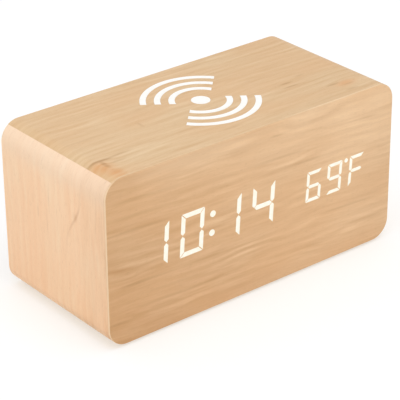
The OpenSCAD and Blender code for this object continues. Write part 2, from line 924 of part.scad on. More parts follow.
// The places of the board's posts and of the three buttons
module post_places() {
    for (sx = [-1, 1], sz = [-1, 1])
        translate([sx * post_x, 0, mid_z + sz * post_z])
            children();
}
module button_places() {
    for (i = [0 : 2])
        translate([button_x + i * button_pitch, 0, button_z])
            children();
}

// The back panel's cuts for what passes through it
module button_holes() {
    button_places()
        bar_y(0, 0, panel_in - past, panel_out + past, button_d + 2 * button_gap);
}
module usb_hole() {
    slab(panel_in - past, panel_out + past)
        translate([usb_x, mid_z - usb_drop])
            round_rect(usb_w + 2 * panel_gap, usb_h + 2 * panel_gap, usb_r + panel_gap);
}
module vent_holes() {
    slab(panel_in - past, panel_out + past)
        for (i = [0 : vent_count - 1])
            translate([vent_x + (i - (vent_count - 1) / 2) * vent_pitch, mid_z - vent_drop])
                slot(vent_w, vent_l);
}
module sound_holes() {
    holes = 6;
    for (i = [0 : holes - 1])
        bar_y(buzzer_x + sound_ring_r * cos(i * 360 / holes),
              mid_z - buzzer_drop + sound_ring_r * sin(i * 360 / holes),
              panel_in - past, panel_out + past, sound_hole_d);
    bar_y(buzzer_x, mid_z - buzzer_drop, panel_in - past, panel_out + past, sound_hole_d);
    bar_y(mic_x, button_z, panel_in - past, panel_out + past, sound_hole_d);
}
module door_opening() {
    box_y(cell_x, cell_z, door_in - door_gap, panel_out + past, door_s, door_s);
    box_y(cell_x, cell_z, panel_in - past, panel_out, door_s - 2 * ledge_w, door_s - 2 * ledge_w);
    translate([cell_x - door_s / 2 - pin_l, hinge_y, hinge_z])
        rotate([0, 90, 0])
            cylinder(h = door_s + 2 * pin_l, d = pin_d + 2 * pin_gap);
    bar_y(cell_x, cell_z - door_s / 2, door_in, panel_out + past, notch_d);
}
module back_screw_holes() {
    block_places() {
        bar_y(0, 0, panel_in - past, panel_out + past, back_screw_d + 2 * screw_gap);
        bar_y(0, 0, panel_out - back_head_h - screw_gap, panel_out + past, back_head_d + 2 * screw_gap);
    }
}

// The back panel with the posts that carry the main circuit board
module back_panel() {
    color(black)
        difference() {
            union() {
                slab(panel_in, panel_out)
                    translate([0, mid_z])
                        square([2 * (in_x - panel_gap), in_h - 2 * panel_gap], center = true);
                post_places()
                    bar_y(0, 0, main_back, panel_in, post_d);
            }
            button_holes();
            usb_hole();
            vent_holes();
            sound_holes();
            door_opening();
            back_screw_holes();
            post_places()
                bar_y(0, 0, main_back - past, main_back + bite + screw_gap, screw_d + 2 * thread_gap);
        }
}

// Four screws through the back panel into the corner blocks
module back_screws() {
    seat = panel_out - back_head_h - screw_gap;
    shank = seat - panel_in + back_bite - thread_gap;
    color(steel)
        block_places()
            translate([0, seat, 0])
                rotate([-90, 0, 0])
                    pan_screw(back_screw_d, shank, back_head_d, back_head_h);
}

// A button: a round cap with a rim that keeps it behind the panel, and a raised mark on its face
module button(i) {
    face = panel_out + button_proud - button_mark;
    translate([button_x + i * button_pitch, 0, button_z]) {
        bar_y(0, 0, rim_in, face, button_d);
        bar_y(0, 0, rim_in, rim_out, button_d + 2 * rim_w);
        slab(face - button_mark, face + button_mark)
            children();
    }
}
module set_button() {
    color(black)
        button(0)
            circle(d = button_d / 3);
}
module up_button() {
    color(black)
        button(1)
            rotate(90)
                circle(d = button_d / 2, $fn = 3);
}
module down_button() {
    color(black)
        button(2)
            rotate(-90)
                circle(d = button_d / 2, $fn = 3);
}

// The plunger that a button pushes into its switch
module plunger(i) {
    color(white)
        bar_y(button_x + i * button_pitch, button_z, plunger_end, rim_in, plunger_d);
}
module set_plunger() {
    plunger(0);
}
module up_plunger() {
    plunger(1);
}
module down_plunger() {
    plunger(2);
}

// Three switches on the main circuit board, each with a well for its plunger
module switch_bodies() {
    color(grey)
        button_places()
            difference() {
                box_y(0, 0, main_back, switch_top, switch_s, switch_s);
                bar_y(0, 0, switch_top - plunger_well, switch_top + past, plunger_d + 2 * panel_gap);
            }
}

// The main circuit board, screwed to the back panel's posts
module main_board() {
    color(green)
        difference() {
            box_y(0, mid_z, main_front, main_back, main_w, main_h);
            post_places()
                bar_y(0, 0, main_front - past, main_back + past, screw_d + 2 * screw_gap);
        }
}
module board_screws() {
    color(steel)
        post_places()
            translate([0, main_front, 0])
                rotate([90, 0, 0])
                    pan_screw(screw_d, pcb_t + bite, head_d, head_h);
}

// The power socket: a steel shell whose mouth is flush with the panel, and its tongue
module usb_socket() {
    color(steel)
        translate([usb_x, 0, mid_z - usb_drop])
            difference() {
                slab(main_back, panel_out)
                    round_rect(usb_w, usb_h, usb_r);
                slab(panel_out - usb_depth, panel_out + past)
                    round_rect(usb_w - 2 * usb_wall, usb_h - 2 * usb_wall, usb_r - usb_wall);
            }
}
module usb_tongue() {
    color(black)
        box_y(usb_x, mid_z - usb_drop, panel_out - usb_depth, panel_out - tongue_back, tongue_w, tongue_t);
}

// The buzzer with the hole in its top
module buzzer() {
    top = main_back + buzzer_h;
    color(black)
        difference() {
            bar_y(buzzer_x, mid_z - buzzer_drop, main_back, top, buzzer_d);
            bar_y(buzzer_x, mid_z - buzzer_drop, top - buzzer_h / 2, top + past, buzzer_hole);
        }
}

// The microphone that hears a clap
module microphone() {
    color(steel)
        bar_y(mic_x, button_z, main_back, main_back + mic_h, mic_d);
}

// The temperature bead on its two legs, behind the vents
module temperature_sensor() {
    bead_y = panel_in - bead_gap - bead_d / 2;
    color(copper) {
        translate([vent_x, bead_y, mid_z - vent_drop])
            sphere(d = bead_d);
        for (side = [-1, 1])
            bar_y(vent_x + side * bead_d / 4, mid_z - vent_drop, main_back, bead_y, leg_d);
    }
}

// The holder of the reserve cell, with two lips over the cell's edge
module cell_holder() {
    color(black) {
        difference() {
            box_y(cell_x, cell_z, main_back, cell_out, holder_s, holder_s);
            bar_y(cell_x, cell_z, main_back + holder_floor, cell_out + past, cell_d + 2 * panel_gap);
        }
        for (side = [-1, 1])
            box_y(cell_x + side * (holder_s / 2 - (holder_s - cell_d) / 4 - lip_over / 2), cell_z,
                  cell_out, cell_out + lip_t, (holder_s - cell_d) / 2 + lip_over, lip_w);
    }
}
module cell_contact() {
    color(gold)
        box_y(cell_x, cell_z, main_back + holder_floor, contact_front, contact_w, contact_h);
}
module coin_cell() {
    color(steel) {
        bar_y(cell_x, cell_z, contact_front, contact_front + cell_step_t, cell_d - 2 * cell_step);
        bar_y(cell_x, cell_z, contact_front + cell_step_t, cell_out, cell_d);
    }
}

// The door over the reserve cell, hung on two pins along its top edge
module battery_door() {
    pins = door_s + 2 * (pin_l - pin_gap);
    color(black) {
        difference() {
            union() {
                box_y(cell_x, (hinge_z + door_bottom) / 2, door_in, door_out, door_w, hinge_z - door_bottom);
                translate([cell_x - door_w / 2, hinge_y, hinge_z])
                    rotate([0, 90, 0])
                        cylinder(h = door_w, d = door_t);
            }
            for (i = [1 : grip_count])
                box_y(cell_x, door_bottom + 2 * i * grip_d + door_t, door_out - grip_d / 2, door_out + past,
                      grip_w, grip_d);
        }
        translate([cell_x - pins / 2, hinge_y, hinge_z])
            rotate([0, 90, 0])
                cylinder(h = pins, d = pin_d);
    }
}

// The clock chip and its crystal on the inner side of the main circuit board
module clock_chip() {
    color(black)
        box_y(mic_x, mid_z, main_front - clock_t, main_front, clock_s, clock_s);
}
module quartz_crystal() {
    color(steel)
        translate([cell_x - can_l, main_front - can_d / 2, mid_z])
            rotate([0, 90, 0])
                cylinder(h = can_l, d = can_d);
}

// The display's flat cable and the sockets at its two ends
module display_ribbon() {
    color(white)
        flat_cable(ribbon_x, ribbon_path, ribbon_w, ribbon_t);
}
module ribbon_sockets() {
    color(white) {
        box_y(ribbon_x, display_z, led_back, led_back + socket_h, ribbon_plug_w, socket_d);
        box_y(ribbon_x, ribbon_low, main_front - socket_h, main_front, ribbon_plug_w, socket_d);
    }
}

// The charger's lead and the sockets at its two ends
module charger_lead() {
    color(black)
        flat_cable(lead_x, lead_path, lead_w, lead_t);
}
module lead_sockets() {
    color(white) {
        translate([lead_x - lead_plug_w / 2, lead_y - socket_d / 2, in_top - socket_h])
            cube([lead_plug_w, socket_d, socket_h]);
        box_y(lead_x, lead_z, main_front - socket_h, main_front, lead_plug_w, socket_d);
    }
}

front_veneer();
front_board();
top_board();
bottom_board();
left_board();
right_board();
corner_blocks();
foot_pads();
charge_mark();
time_segments();
temperature_segments();
diffuser_film();
digit_housing();
segment_leds();
led_board();
display_driver();
display_screws();
charge_coil();
ferrite_sheet();
charger_board();
charger_parts();
charger_bracket();
charger_screws();
back_panel();
back_screws();
set_button();
up_button();
down_button();
set_plunger();
up_plunger();
down_plunger();
switch_bodies();
main_board();
board_screws();
usb_socket();
usb_tongue();
buzzer();
microphone();
temperature_sensor();
cell_holder();
cell_contact();
coin_cell();
battery_door();
clock_chip();
quartz_crystal();
display_ribbon();
ribbon_sockets();
charger_lead();
lead_sockets();
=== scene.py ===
# %% [markdown]
# A wooden block clock, dressed for the camera.
# The packed model already gives every piece its true size and place, in metres, so this lesson adds what
# a drawing of solids leaves out: grain, eased edges, grooves round the inlays, moulded plastic and light.
# The packed pieces are loaded first, and their overall box is kept, because no finish may make it bigger.

# %% Load the packed clock
import math

import bmesh
import bpy
from mathutils import Matrix, Vector
from mathutils.geometry import tessellate_polygon


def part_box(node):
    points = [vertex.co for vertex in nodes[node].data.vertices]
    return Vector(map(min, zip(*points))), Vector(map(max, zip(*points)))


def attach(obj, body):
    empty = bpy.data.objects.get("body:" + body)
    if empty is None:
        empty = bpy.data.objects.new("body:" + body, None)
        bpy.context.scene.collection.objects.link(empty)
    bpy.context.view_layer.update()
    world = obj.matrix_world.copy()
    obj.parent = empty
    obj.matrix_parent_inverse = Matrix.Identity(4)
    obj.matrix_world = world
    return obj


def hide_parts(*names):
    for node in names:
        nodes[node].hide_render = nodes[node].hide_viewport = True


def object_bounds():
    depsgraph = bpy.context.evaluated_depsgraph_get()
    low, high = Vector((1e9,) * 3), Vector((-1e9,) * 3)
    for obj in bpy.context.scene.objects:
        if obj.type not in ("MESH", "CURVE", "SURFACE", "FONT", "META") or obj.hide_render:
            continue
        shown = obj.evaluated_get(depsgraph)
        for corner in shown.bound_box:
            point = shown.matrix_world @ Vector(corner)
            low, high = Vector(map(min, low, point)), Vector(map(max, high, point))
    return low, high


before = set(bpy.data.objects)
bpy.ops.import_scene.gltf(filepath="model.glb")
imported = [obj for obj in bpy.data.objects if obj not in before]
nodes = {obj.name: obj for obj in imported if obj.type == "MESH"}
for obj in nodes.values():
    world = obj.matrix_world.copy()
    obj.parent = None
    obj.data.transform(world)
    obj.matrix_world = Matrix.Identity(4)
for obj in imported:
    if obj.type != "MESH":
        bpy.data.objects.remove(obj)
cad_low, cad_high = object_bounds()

MM = 0.001
MICRON = 0.001 * MM
scene = bpy.context.scene
scene.view_settings.view_transform = "Standard"
print("pieces in the packed clock:", len(nodes))

# %% [markdown]
# The camera stands to the front left and a little above the clock, where the photograph was taken. A long
# lens from far away keeps the upright edges nearly parallel. The place could be found by dragging the
# view, but an angle, a height and a distance are easier to read and to change.

# %% Camera
PICTURE_PIXELS, LENS_PIXELS, SENSOR_MM = 400, 1836.285, 36
AZIMUTH, ELEVATION, ROLL = (math.radians(a) for a in (-38.912, 27.064, -0.5))
DISTANCE, NEAREST = 766.649 * MM, 10 * MM
AIM_HEIGHT, AIM_ASIDE, AIM_ABOVE = 35 * MM, -0.843 * MM, -5.756 * MM

back = Vector((math.sin(AZIMUTH) * math.cos(ELEVATION),
               -math.cos(AZIMUTH) * math.cos(ELEVATION), math.sin(ELEVATION)))
right = (-back).cross(Vector((0, 0, 1))).normalized()
up = right.cross(-back)
aim = Vector((0, 0, AIM_HEIGHT)) + right * AIM_ASIDE + up * AIM_ABOVE
rolled_right = right * math.cos(ROLL) + up * math.sin(ROLL)
rolled_up = up * math.cos(ROLL) - right * math.sin(ROLL)

camera_data = bpy.data.cameras.new("Camera")
camera_data.sensor_width = SENSOR_MM
camera_data.lens = LENS_PIXELS * SENSOR_MM / PICTURE_PIXELS
camera_data.clip_start = NEAREST
camera = bpy.data.objects.new("Camera", camera_data)
scene.collection.objects.link(camera)
turned = Matrix((rolled_right, rolled_up, back)).transposed().to_4x4()
camera.matrix_world = Matrix.Translation(aim + back * DISTANCE) @ turned
scene.camera = camera
print("lens of", round(camera_data.lens), "mm at", round(DISTANCE, 3), "m")

# %% [markdown]
# A finish is a small network of nodes. It could be drawn by hand in the shader editor, but a script is
# easier to repeat for the next board. These helpers add a node, set its inputs and give back its output,
# so that a finish reads like a recipe. Colours are written as they look on a screen, from 0 to 255, and
# are turned into the linear light that the shader works in.

# %% Helpers for nodes
def colour(r, g, b):
    """A screen colour as linear light."""
    def linear(c):
        c /= 255
        return c / 12.92 if c <= 0.04045 else ((c + 0.055) / 1.055) ** 2.4
    return (linear(r), linear(g), linear(b), 1)


def put(tree, kind, inputs=None, **settings):
    """Adds a node. An input is a value, or the output of another node."""
    node = tree.nodes.new(kind)
    for key, value in settings.items():
        setattr(node, key, value)
    for key, value in (inputs or {}).items():
        socket = node.inputs[key]
        if isinstance(value, bpy.types.NodeSocket):
            tree.links.new(value, socket)
        else:
            socket.default_value = value
    return node


def calc(tree, operation, *values):
    """One step of arithmetic."""
    return put(tree, "ShaderNodeMath", dict(enumerate(values)), operation=operation).outputs[0]


def spread(tree, value, low, high, to_low=0.0, to_high=1.0):
    """Stretches a narrow band of values to a wide one, with soft ends."""
    return put(tree, "ShaderNodeMapRange", {"Value": value, "From Min": low, "From Max": high,
                                            "To Min": to_low, "To Max": to_high},
               interpolation_type="SMOOTHSTEP").outputs["Result"]


def blend(tree, share, first, second):
    """Mixes two colours. A Mix node has its colours at inputs 6 and 7 and at output 2."""
    return put(tree, "ShaderNodeMix", {0: share, 6: first, 7: second}, data_type="RGBA").outputs[2]


print("a middle grey of 128 as linear light:", round(colour(128, 128, 128)[0], 3))

# %% [markdown]
# Wood, plastic and metal all differ a little from place to place. Painted images could show that, but
# noise needs no file, has no seam, and stays on a piece that moves because it is read at the place on the
# object. Noise seldom leaves the band from 0.3 to 0.7, so it is stretched to the whole range before use.

# %% Helpers for patterns
NOISE_BAND = (0.3, 0.7)


def object_place(tree):
    """The place on the object, in metres."""
    return put(tree, "ShaderNodeTexCoord").outputs["Object"]


def separated(tree, place):
    """The three coordinates of a place."""
    return put(tree, "ShaderNodeSeparateXYZ", {"Vector": place}).outputs


def joined(tree, x, y, z=0.0):
    """A place from its coordinates."""
    return put(tree, "ShaderNodeCombineXYZ", {"X": x, "Y": y, "Z": z}).outputs[0]


def length(tree, vector):
    """How long a vector is."""
    return put(tree, "ShaderNodeVectorMath", {0: vector}, operation="LENGTH").outputs["Value"]


def cloud(tree, place, scale=1.0, detail=2.0):
    """Noise at a place."""
    return put(tree, "ShaderNodeTexNoise", {"Vector": place, "Scale": scale, "Detail": detail}).outputs["Fac"]


def stretched(tree, noise, to_low=0.0, to_high=1.0):
    """Noise drawn out to a whole range."""
    return spread(tree, noise, *NOISE_BAND, to_low, to_high)


def new_finish(name):
    """An empty finish: the material, its tree and its shader."""
    finish = bpy.data.materials.new(name)
    finish.use_nodes = True
    return finish, finish.node_tree, finish.node_tree.nodes["Principled BSDF"]


def bump(tree, shader, height, depth, strength=1.0):
    """Lets a pattern stand up from the surface by a depth in metres."""
    node = put(tree, "ShaderNodeBump", {"Height": height, "Distance": depth, "Strength": strength})
    tree.links.new(node.outputs["Normal"], shader.inputs["Normal"])


print("noise is stretched from", *NOISE_BAND, "to 0 and 1")

# %% [markdown]
# The clock is faced with pale wood. A photograph of wood could be wrapped round the block, but it would
# show the same knot on every side. Here the grain is noise that is drawn out along the board, so each
# board gets its own direction, colour and seed. The noise reads two of the three coordinates, along the
# grain and across it, which lets the grain run on over a rounded edge. A plank keeps these two with its
# node tree.

# %% Planks
AXES = {"x": 0, "y": 1, "z": 2}
SEED_STEP = 3.7
# Each layer of the grain: changes per metre along and across it, its own step of the seed, and its detail
LAYERS = {"wander": (14, 34, 0, 2.0), "streak": (34, 400, 1, 2.0), "line": (85, 1300, 2, 3.0),
          "patch": (24, 52, 3, 1.0), "pore": (420, 6500, 4, 1.0), "calm": (22, 120, 5, 1.0),
          "ripple": (60, 100, 6, 1.0), "drift": (18, 60, 7, 1.0), "breaks": (60, 300, 8, 1.0)}


class Plank:
    """The finish of one board, with its coordinates along the grain (u) and across it (v)."""

    def __init__(self, name, along, across, seed, slope):
        self.finish, self.tree, self.shader = new_finish(name)
        parts = separated(self.tree, object_place(self.tree))
        self.u, self.v = parts[AXES[along]], parts[AXES[across]]
        self.seed, self.slope = seed * SEED_STEP, slope

    def noise(self, layer, across):
        """One layer's noise, read at some coordinate across the grain."""
        along_scale, across_scale, step, detail = LAYERS[layer]
        place = joined(self.tree, calc(self.tree, "MULTIPLY", self.u, along_scale),
                       calc(self.tree, "MULTIPLY", across, across_scale), self.seed + step)
        return cloud(self.tree, place, detail=detail)

    def away(self, x, y, long, wide):
        """The distance from a mark, as a share of the mark's reach along and across the grain."""
        ahead = calc(self.tree, "SUBTRACT", self.u, x * MM)
        aside = calc(self.tree, "SUBTRACT", self.v, y * MM)
        aside = calc(self.tree, "MULTIPLY_ADD", ahead, self.slope, aside)
        return length(self.tree, joined(self.tree, calc(self.tree, "DIVIDE", ahead, long * MM),
                                        calc(self.tree, "DIVIDE", aside, wide * MM)))


print("layers of the grain:", ", ".join(LAYERS))

# %% [markdown]
# Real grain is a set of long streaks that wander a little, with finer lines and short dark pores in them.
# Between the streaks lie growth lines: they keep an even pitch, but they drift and break off, and in calm
# places they nearly vanish. A single wave texture would be too even, so a sine of the coordinate across
# the grain is pushed about by noise. A knot, where a twig began, squeezes that coordinate, so that the
# streaks part and flow round it.

# %% Streaks and growth lines
WANDER, RIPPLE = 5 * MM, 1.3 * MM
KNOT_REACH, KNOT_SQUEEZE = (0.2, 2.0), 0.75
RING_PITCH, RING_DRIFT = 4.4 * MM, 16.0
COARSE_BAND, PORE_BAND = (0.35, 0.65), (0.6, 0.75)
CALM_RANGE, BREAK_RANGE = (0.45, 1.3), (0.05, 0.75)


def contrast(tree, value, factor):
    """Moves a value between 0 and 1 away from its middle, or nearer to it."""
    return calc(tree, "MULTIPLY_ADD", calc(tree, "SUBTRACT", value, 0.5), factor, 0.5)


def flow(plank, knots):
    """The coordinate across the grain, bent as the streaks are."""
    tree, bent = plank.tree, plank.v
    for layer, reach in (("wander", WANDER), ("ripple", RIPPLE)):
        swing = calc(tree, "SUBTRACT", plank.noise(layer, plank.v), 0.5)
        bent = calc(tree, "MULTIPLY_ADD", swing, reach, bent)
    bent = calc(tree, "MULTIPLY_ADD", plank.u, plank.slope, bent)
    for x, y, long, wide, _ in knots:
        squeeze = spread(tree, plank.away(x, y, long, wide), *KNOT_REACH, KNOT_SQUEEZE, 0.0)
        aside = calc(tree, "SUBTRACT", plank.v, y * MM)
        bent = calc(tree, "SUBTRACT", bent, calc(tree, "MULTIPLY", aside, squeeze))
    return bent


def grain(plank, bent):
    """The layers that show, each about from 0 to 1."""
    tree = plank.tree
    calm = spread(tree, plank.noise("calm", plank.v), *COARSE_BAND, *CALM_RANGE)
    drift = calc(tree, "MULTIPLY", plank.noise("drift", plank.v), RING_DRIFT)
    ring = calc(tree, "SINE", calc(tree, "MULTIPLY_ADD", bent, math.tau / RING_PITCH, drift))
    breaks = spread(tree, plank.noise("breaks", bent), *COARSE_BAND, *BREAK_RANGE)
    return {
        "streak": contrast(tree, stretched(tree, plank.noise("streak", bent)), calm),
        "ring": calc(tree, "MULTIPLY_ADD", ring, calc(tree, "MULTIPLY", breaks, calm), 0.5),
        "line": stretched(tree, plank.noise("line", bent)),
        "patch": stretched(tree, plank.noise("patch", plank.v)),
        "pore": spread(tree, plank.noise("pore", bent), *PORE_BAND)}


print("growth lines every", RING_PITCH / MM, "mm")

# %% [markdown]
# Some marks are the clock's own: warm knots, brown specks, places that are lighter, and on the left end
# one thin vein that winds upwards. A few are painted light and shade instead: the pale marks on the
# veneer's edge are painted highlights, and a brown mark at the foot of the left end and another at the
# left end of the underside are painted shade on the lower round. They could be painted on a mask, but a
# list of places is easier to move. Each mark is a soft oval that shows more on the dark streaks than
# between them. The vein follows a course: a sum of soft steps says how far aside it lies at each height.

# %% Marks in the wood
KNOT_WARM, FLECK_AND_SHADE_BROWN = colour(218, 156, 98), colour(168, 118, 64)
LIGHT_CREAM, VEIN_BROWN = colour(255, 226, 190), colour(186, 120, 66)
MARK_EDGE, LEAST_MARKED = (0.1, 1.1), 0.5
# Each step of the vein: from one height to another, and how far aside at the first and at the second, in mm
VEIN_COURSE = ((39, 58, -9, -17.8), (54, 76, 0, -2.8), (10, 44, 4.5, 0))
VEIN_MIDDLE, VEIN_EDGE = 51.3 * MM, (0.1 * MM, 1.15 * MM)
VEIN_FADES, VEIN_SHARE = ((1 * MM, 7 * MM), (4 * MM, 26 * MM)), 0.13


def marked(plank, tone, streak, marks, mark_colour):
    """Lays marks over a tone. A mark is its place, its reach along and across, all in mm, and its share."""
    tree = plank.tree
    held = spread(tree, streak, 0.0, 1.0, LEAST_MARKED, 1.0)
    for x, y, long, wide, share in marks:
        spot = spread(tree, plank.away(x, y, long, wide), *MARK_EDGE, share, 0.0)
        tone = blend(tree, calc(tree, "MULTIPLY", spot, held), tone, mark_colour)
    return tone


def veined(plank, tone):
    """Draws the vein over a tone. It is darkest at its middle and fades towards both ends."""
    tree, course, dark = plank.tree, 0.0, 0.0
    for low, high, to_low, to_high in VEIN_COURSE:
        step = spread(tree, plank.u, low * MM, high * MM, to_low * MM, to_high * MM)
        course = calc(tree, "ADD", course, step)
    aside = calc(tree, "ABSOLUTE", calc(tree, "SUBTRACT", plank.v, course))
    ahead = calc(tree, "ABSOLUTE", calc(tree, "SUBTRACT", plank.u, VEIN_MIDDLE))
    for near, far in VEIN_FADES:
        dark = calc(tree, "ADD", dark, spread(tree, ahead, near, far, VEIN_SHARE, 0.0))
    share = calc(tree, "MULTIPLY", dark, spread(tree, aside, *VEIN_EDGE, 1.0, 0.0))
    return blend(tree, share, tone, VEIN_BROWN)


print("the vein is about", round(2 * VEIN_EDGE[1] / MM, 1), "mm wide")

# %% [markdown]
# A wood finish puts the layers together: their weighted sum decides between a pale and a deep tone, slow
# patches add a blush, and pores, marks and the vein come on top. The tone may also lean from one end of a
# board to the other, along the grain or across it. A band along the grain may be paled more and more
# towards one end, a painted highlight such as the one on the upper round of the left end. One noise
# texture in a colour ramp would be quicker, but it could not place these parts.
# The lacquer is satin, a little duller in the pores, and the pores are also dents in the surface.

# %% Wood
case_middle = (cad_low + cad_high) / 2
WEIGHTS = {"line": 0.15, "streak": 0.3, "ring": 0.28, "patch": 0.27}
BLUSH_SHARE, PORE_SHARE, ROUND_HIGHLIGHT_SHARE = 0.4, 0.2, 0.45
PORE_BROWN, ROUND_HIGHLIGHT_PALE = colour(160, 112, 72), colour(240, 219, 197)
SATIN, LINE_DULLS, PORE_DULLS, LACQUER_SHINE = 0.44, 0.1, 0.15, 0.35
LINE_RISE, PORE_DEPTH, PORE_STRENGTH = 0.35, 40 * MICRON, 0.5


def wood(name, along, across, pale, deep, blush, seed, strength=1.0, lean=(0.0, 0.0), slope=0.0,
         knots=(), flecks_and_shade=(), lights=(), vein=False, round_highlight=None):
    """Sawn and lacquered wood with its grain along one axis and its streaks side by side on another."""
    plank = Plank(name, along, across, seed, slope)
    tree, shader = plank.tree, plank.shader
    layers = grain(plank, flow(plank, knots))
    depth = 0.0
    for layer, weight in WEIGHTS.items():
        depth = calc(tree, "MULTIPLY_ADD", layers[layer], weight, depth)
    depth = contrast(tree, depth, strength)
    for place, axis, tilt in ((plank.u, along, lean[0]), (plank.v, across, lean[1])):
        offset = calc(tree, "SUBTRACT", place, case_middle[AXES[axis]])
        depth = calc(tree, "MULTIPLY_ADD", offset, tilt, depth)
    tone = blend(tree, depth, pale, deep)
    tone = blend(tree, calc(tree, "MULTIPLY", layers["patch"], BLUSH_SHARE), tone, blush)
    # Painted highlight: the tone is paled more and more from one place along the grain to another, as on the
    # upper round of the left end.
    if round_highlight:
        bare = spread(tree, plank.u, round_highlight[0] * MM, round_highlight[1] * MM, 0.0, ROUND_HIGHLIGHT_SHARE)
        tone = blend(tree, bare, tone, ROUND_HIGHLIGHT_PALE)
    tone = blend(tree, calc(tree, "MULTIPLY", layers["pore"], PORE_SHARE), tone, PORE_BROWN)
    for marks, mark_colour in ((knots, KNOT_WARM), (flecks_and_shade, FLECK_AND_SHADE_BROWN), (lights, LIGHT_CREAM)):
        tone = marked(plank, tone, layers["streak"], marks, mark_colour)
    if vein:
        tone = veined(plank, tone)
    tree.links.new(tone, shader.inputs["Base Color"])

    dull = calc(tree, "MULTIPLY_ADD", layers["line"], LINE_DULLS, SATIN)
    dull = calc(tree, "MULTIPLY_ADD", layers["pore"], PORE_DULLS, dull)
    tree.links.new(dull, shader.inputs["Roughness"])
    shader.inputs["Specular IOR Level"].default_value = LACQUER_SHINE
    height = calc(tree, "SUBTRACT", calc(tree, "MULTIPLY", layers["line"], LINE_RISE), layers["pore"])
    bump(tree, shader, height, PORE_DEPTH, PORE_STRENGTH)
    return plank.finish


print("weights of the layers add up to", round(sum(WEIGHTS.values()), 2))

# %% [markdown]
# Three sides show in the photograph. The front has soft brown streaks that rise a little to the right and
# lighter places near its upper edge. The top has a knot at each front corner. The left end is pinker,
# with upright grain and the vein. One finish with other colours would do from afar, but here each side
# has its own marks where the real one has them.

# %% Wood of the front, the top and the left end
front_wood = wood("front_wood", "x", "z", colour(255, 216, 172), colour(207, 157, 107), colour(245, 198, 149),
                  seed=3, strength=0.66, lean=(-4.2, -4.0), slope=0.045,
                  lights=((8, 67, 48, 20, 0.17), (-42, 72, 30, 8, 0.32)),
                  flecks_and_shade=((10.5, 67.6, 5, 0.6, 0.35), (-52, 62.4, 26, 1.1, 0.24), (-62, 49.8, 20, 1.0, 0.26),
                          (-60, 56.0, 18, 1.2, 0.2), (-20, 47.6, 8, 0.8, 0.18), (32, 51.2, 30, 1.0, 0.2),
                          (11, 57.4, 22, 0.9, 0.16), (-57, 26, 18, 1.0, 0.26), (52, 23.3, 20, 0.9, 0.22),
                          (-40, 14.3, 28, 1.0, 0.24), (-71, 11.2, 8, 0.9, 0.22), (62, 61.4, 14, 0.9, 0.18),
                          (-45, 19.8, 20, 0.9, 0.18), (80, 30, 36, 60, 0.2)))
top_wood = wood("top_wood", "x", "y", colour(227, 197, 157), colour(205, 166, 120), colour(228, 185, 140),
                seed=26, strength=0.95, lean=(1.6, 0.0), slope=0.01,
                knots=((-67.5, -24, 6.5, 5.5, 0.9), (-66, -31, 4.5, 6, 0.7), (58, -24.5, 7, 3.4, 0.85)),
                flecks_and_shade=((-65, -19, 10, 1.2, 0.65), (-55, -18.6, 8, 1.0, 0.5), (-65.5, -22.8, 1.6, 4.2, 0.7),
                        (-60, -23, 5, 1.0, 0.4), (38, -9, 4.5, 1.0, 0.42), (38, -12.6, 6, 0.9, 0.4),
                        (48, -6.2, 3.5, 0.9, 0.3), (52.5, -22.4, 4.5, 1.1, 0.5), (58, -25.6, 5, 1.0, 0.42),
                        (56, -30.4, 5, 1.0, 0.45), (-33.2, -2.6, 1.1, 3.2, 0.35), (-7, -28, 7, 1.1, 0.35),
                        (-61, 0, 14, 1.0, 0.2)))
# On the left end the band from 58 to 72 mm up, its upper round, is paled: a painted highlight.
left_wood = wood("left_wood", "z", "y", colour(255, 226, 192), colour(242, 193, 147), colour(255, 208, 168),
                 seed=5, strength=0.7, lean=(-6.0, 0.0), vein=True, round_highlight=(58, 72),
                 # The last fleck, at the foot of the left end, is painted shade on its lower round.
                 flecks_and_shade=((44.5, 10.6, 4, 0.8, 0.2), (53, 2.8, 8, 0.6, 0.16), (41, 4.6, 9, 0.6, 0.14),
                         (40, -41, 90, 27, 0.24), (51.4, -15, 2.6, 2.2, 0.2), (1, -22, 10, 30, 0.32)))
print("wood that the photograph shows:", ", ".join(w.name for w in (front_wood, top_wood, left_wood)))

# %% [markdown]
# The other wood is the right end, the underside, the thin edge of the veneer, the sawn rims at the back
# and the plain board behind the veneer. They could share one finish, but grain runs along a board, so a
# rim that lies level and one that stands upright need different directions.

# %% Wood of the other sides
RIM_TONES = (colour(230, 198, 157), colour(206, 166, 120), colour(228, 186, 142))
right_wood = wood("right_wood", "z", "y", colour(253, 226, 194), colour(238, 193, 149), colour(252, 208, 170),
                  seed=6, strength=0.5)
# Its one fleck, at the left end of the underside, is painted shade on the lower round of the left end.
base_wood = wood("base_wood", "x", "y", colour(230, 198, 157), colour(204, 164, 118), colour(227, 186, 142),
                 seed=8, flecks_and_shade=((-74, -15, 7, 40, 0.35),))
# The pale marks of the veneer's edge are painted highlights: along the right half of the top edge and along
# the left upright edge.
veneer_edge = wood("veneer_edge", "x", "y", colour(234, 203, 164), colour(214, 176, 132),
                   colour(232, 192, 150), seed=12, strength=0.6,
                   lights=((46, -35, 34, 20, 0.6), (-76, -35, 6, 30, 0.6)))
level_rim = wood("level_rim", "x", "z", *RIM_TONES, seed=9)
upright_rim = wood("upright_rim", "z", "x", *RIM_TONES, seed=10)
inner_wood = wood("inner_wood", "x", "z", colour(212, 178, 136), colour(176, 137, 94), colour(205, 166, 122),
                  seed=11)
print("other wood:", ", ".join(w.name for w in (right_wood, base_wood, veneer_edge, level_rim, upright_rim,
                                                inner_wood)))

# %% [markdown]
# Every new piece ends in the same way. Points that coincide are merged, faces are turned outwards, and
# the surface is shaded smoothly except where it really has an edge. This could be clicked together in the
# edit mode, but one function does it for all pieces, and it counts the edges where a piece isn't closed.

# %% Closing and shading a mesh
EDGE_ANGLE = math.radians(28)
MERGE_WITHIN = 0.1 * MICRON


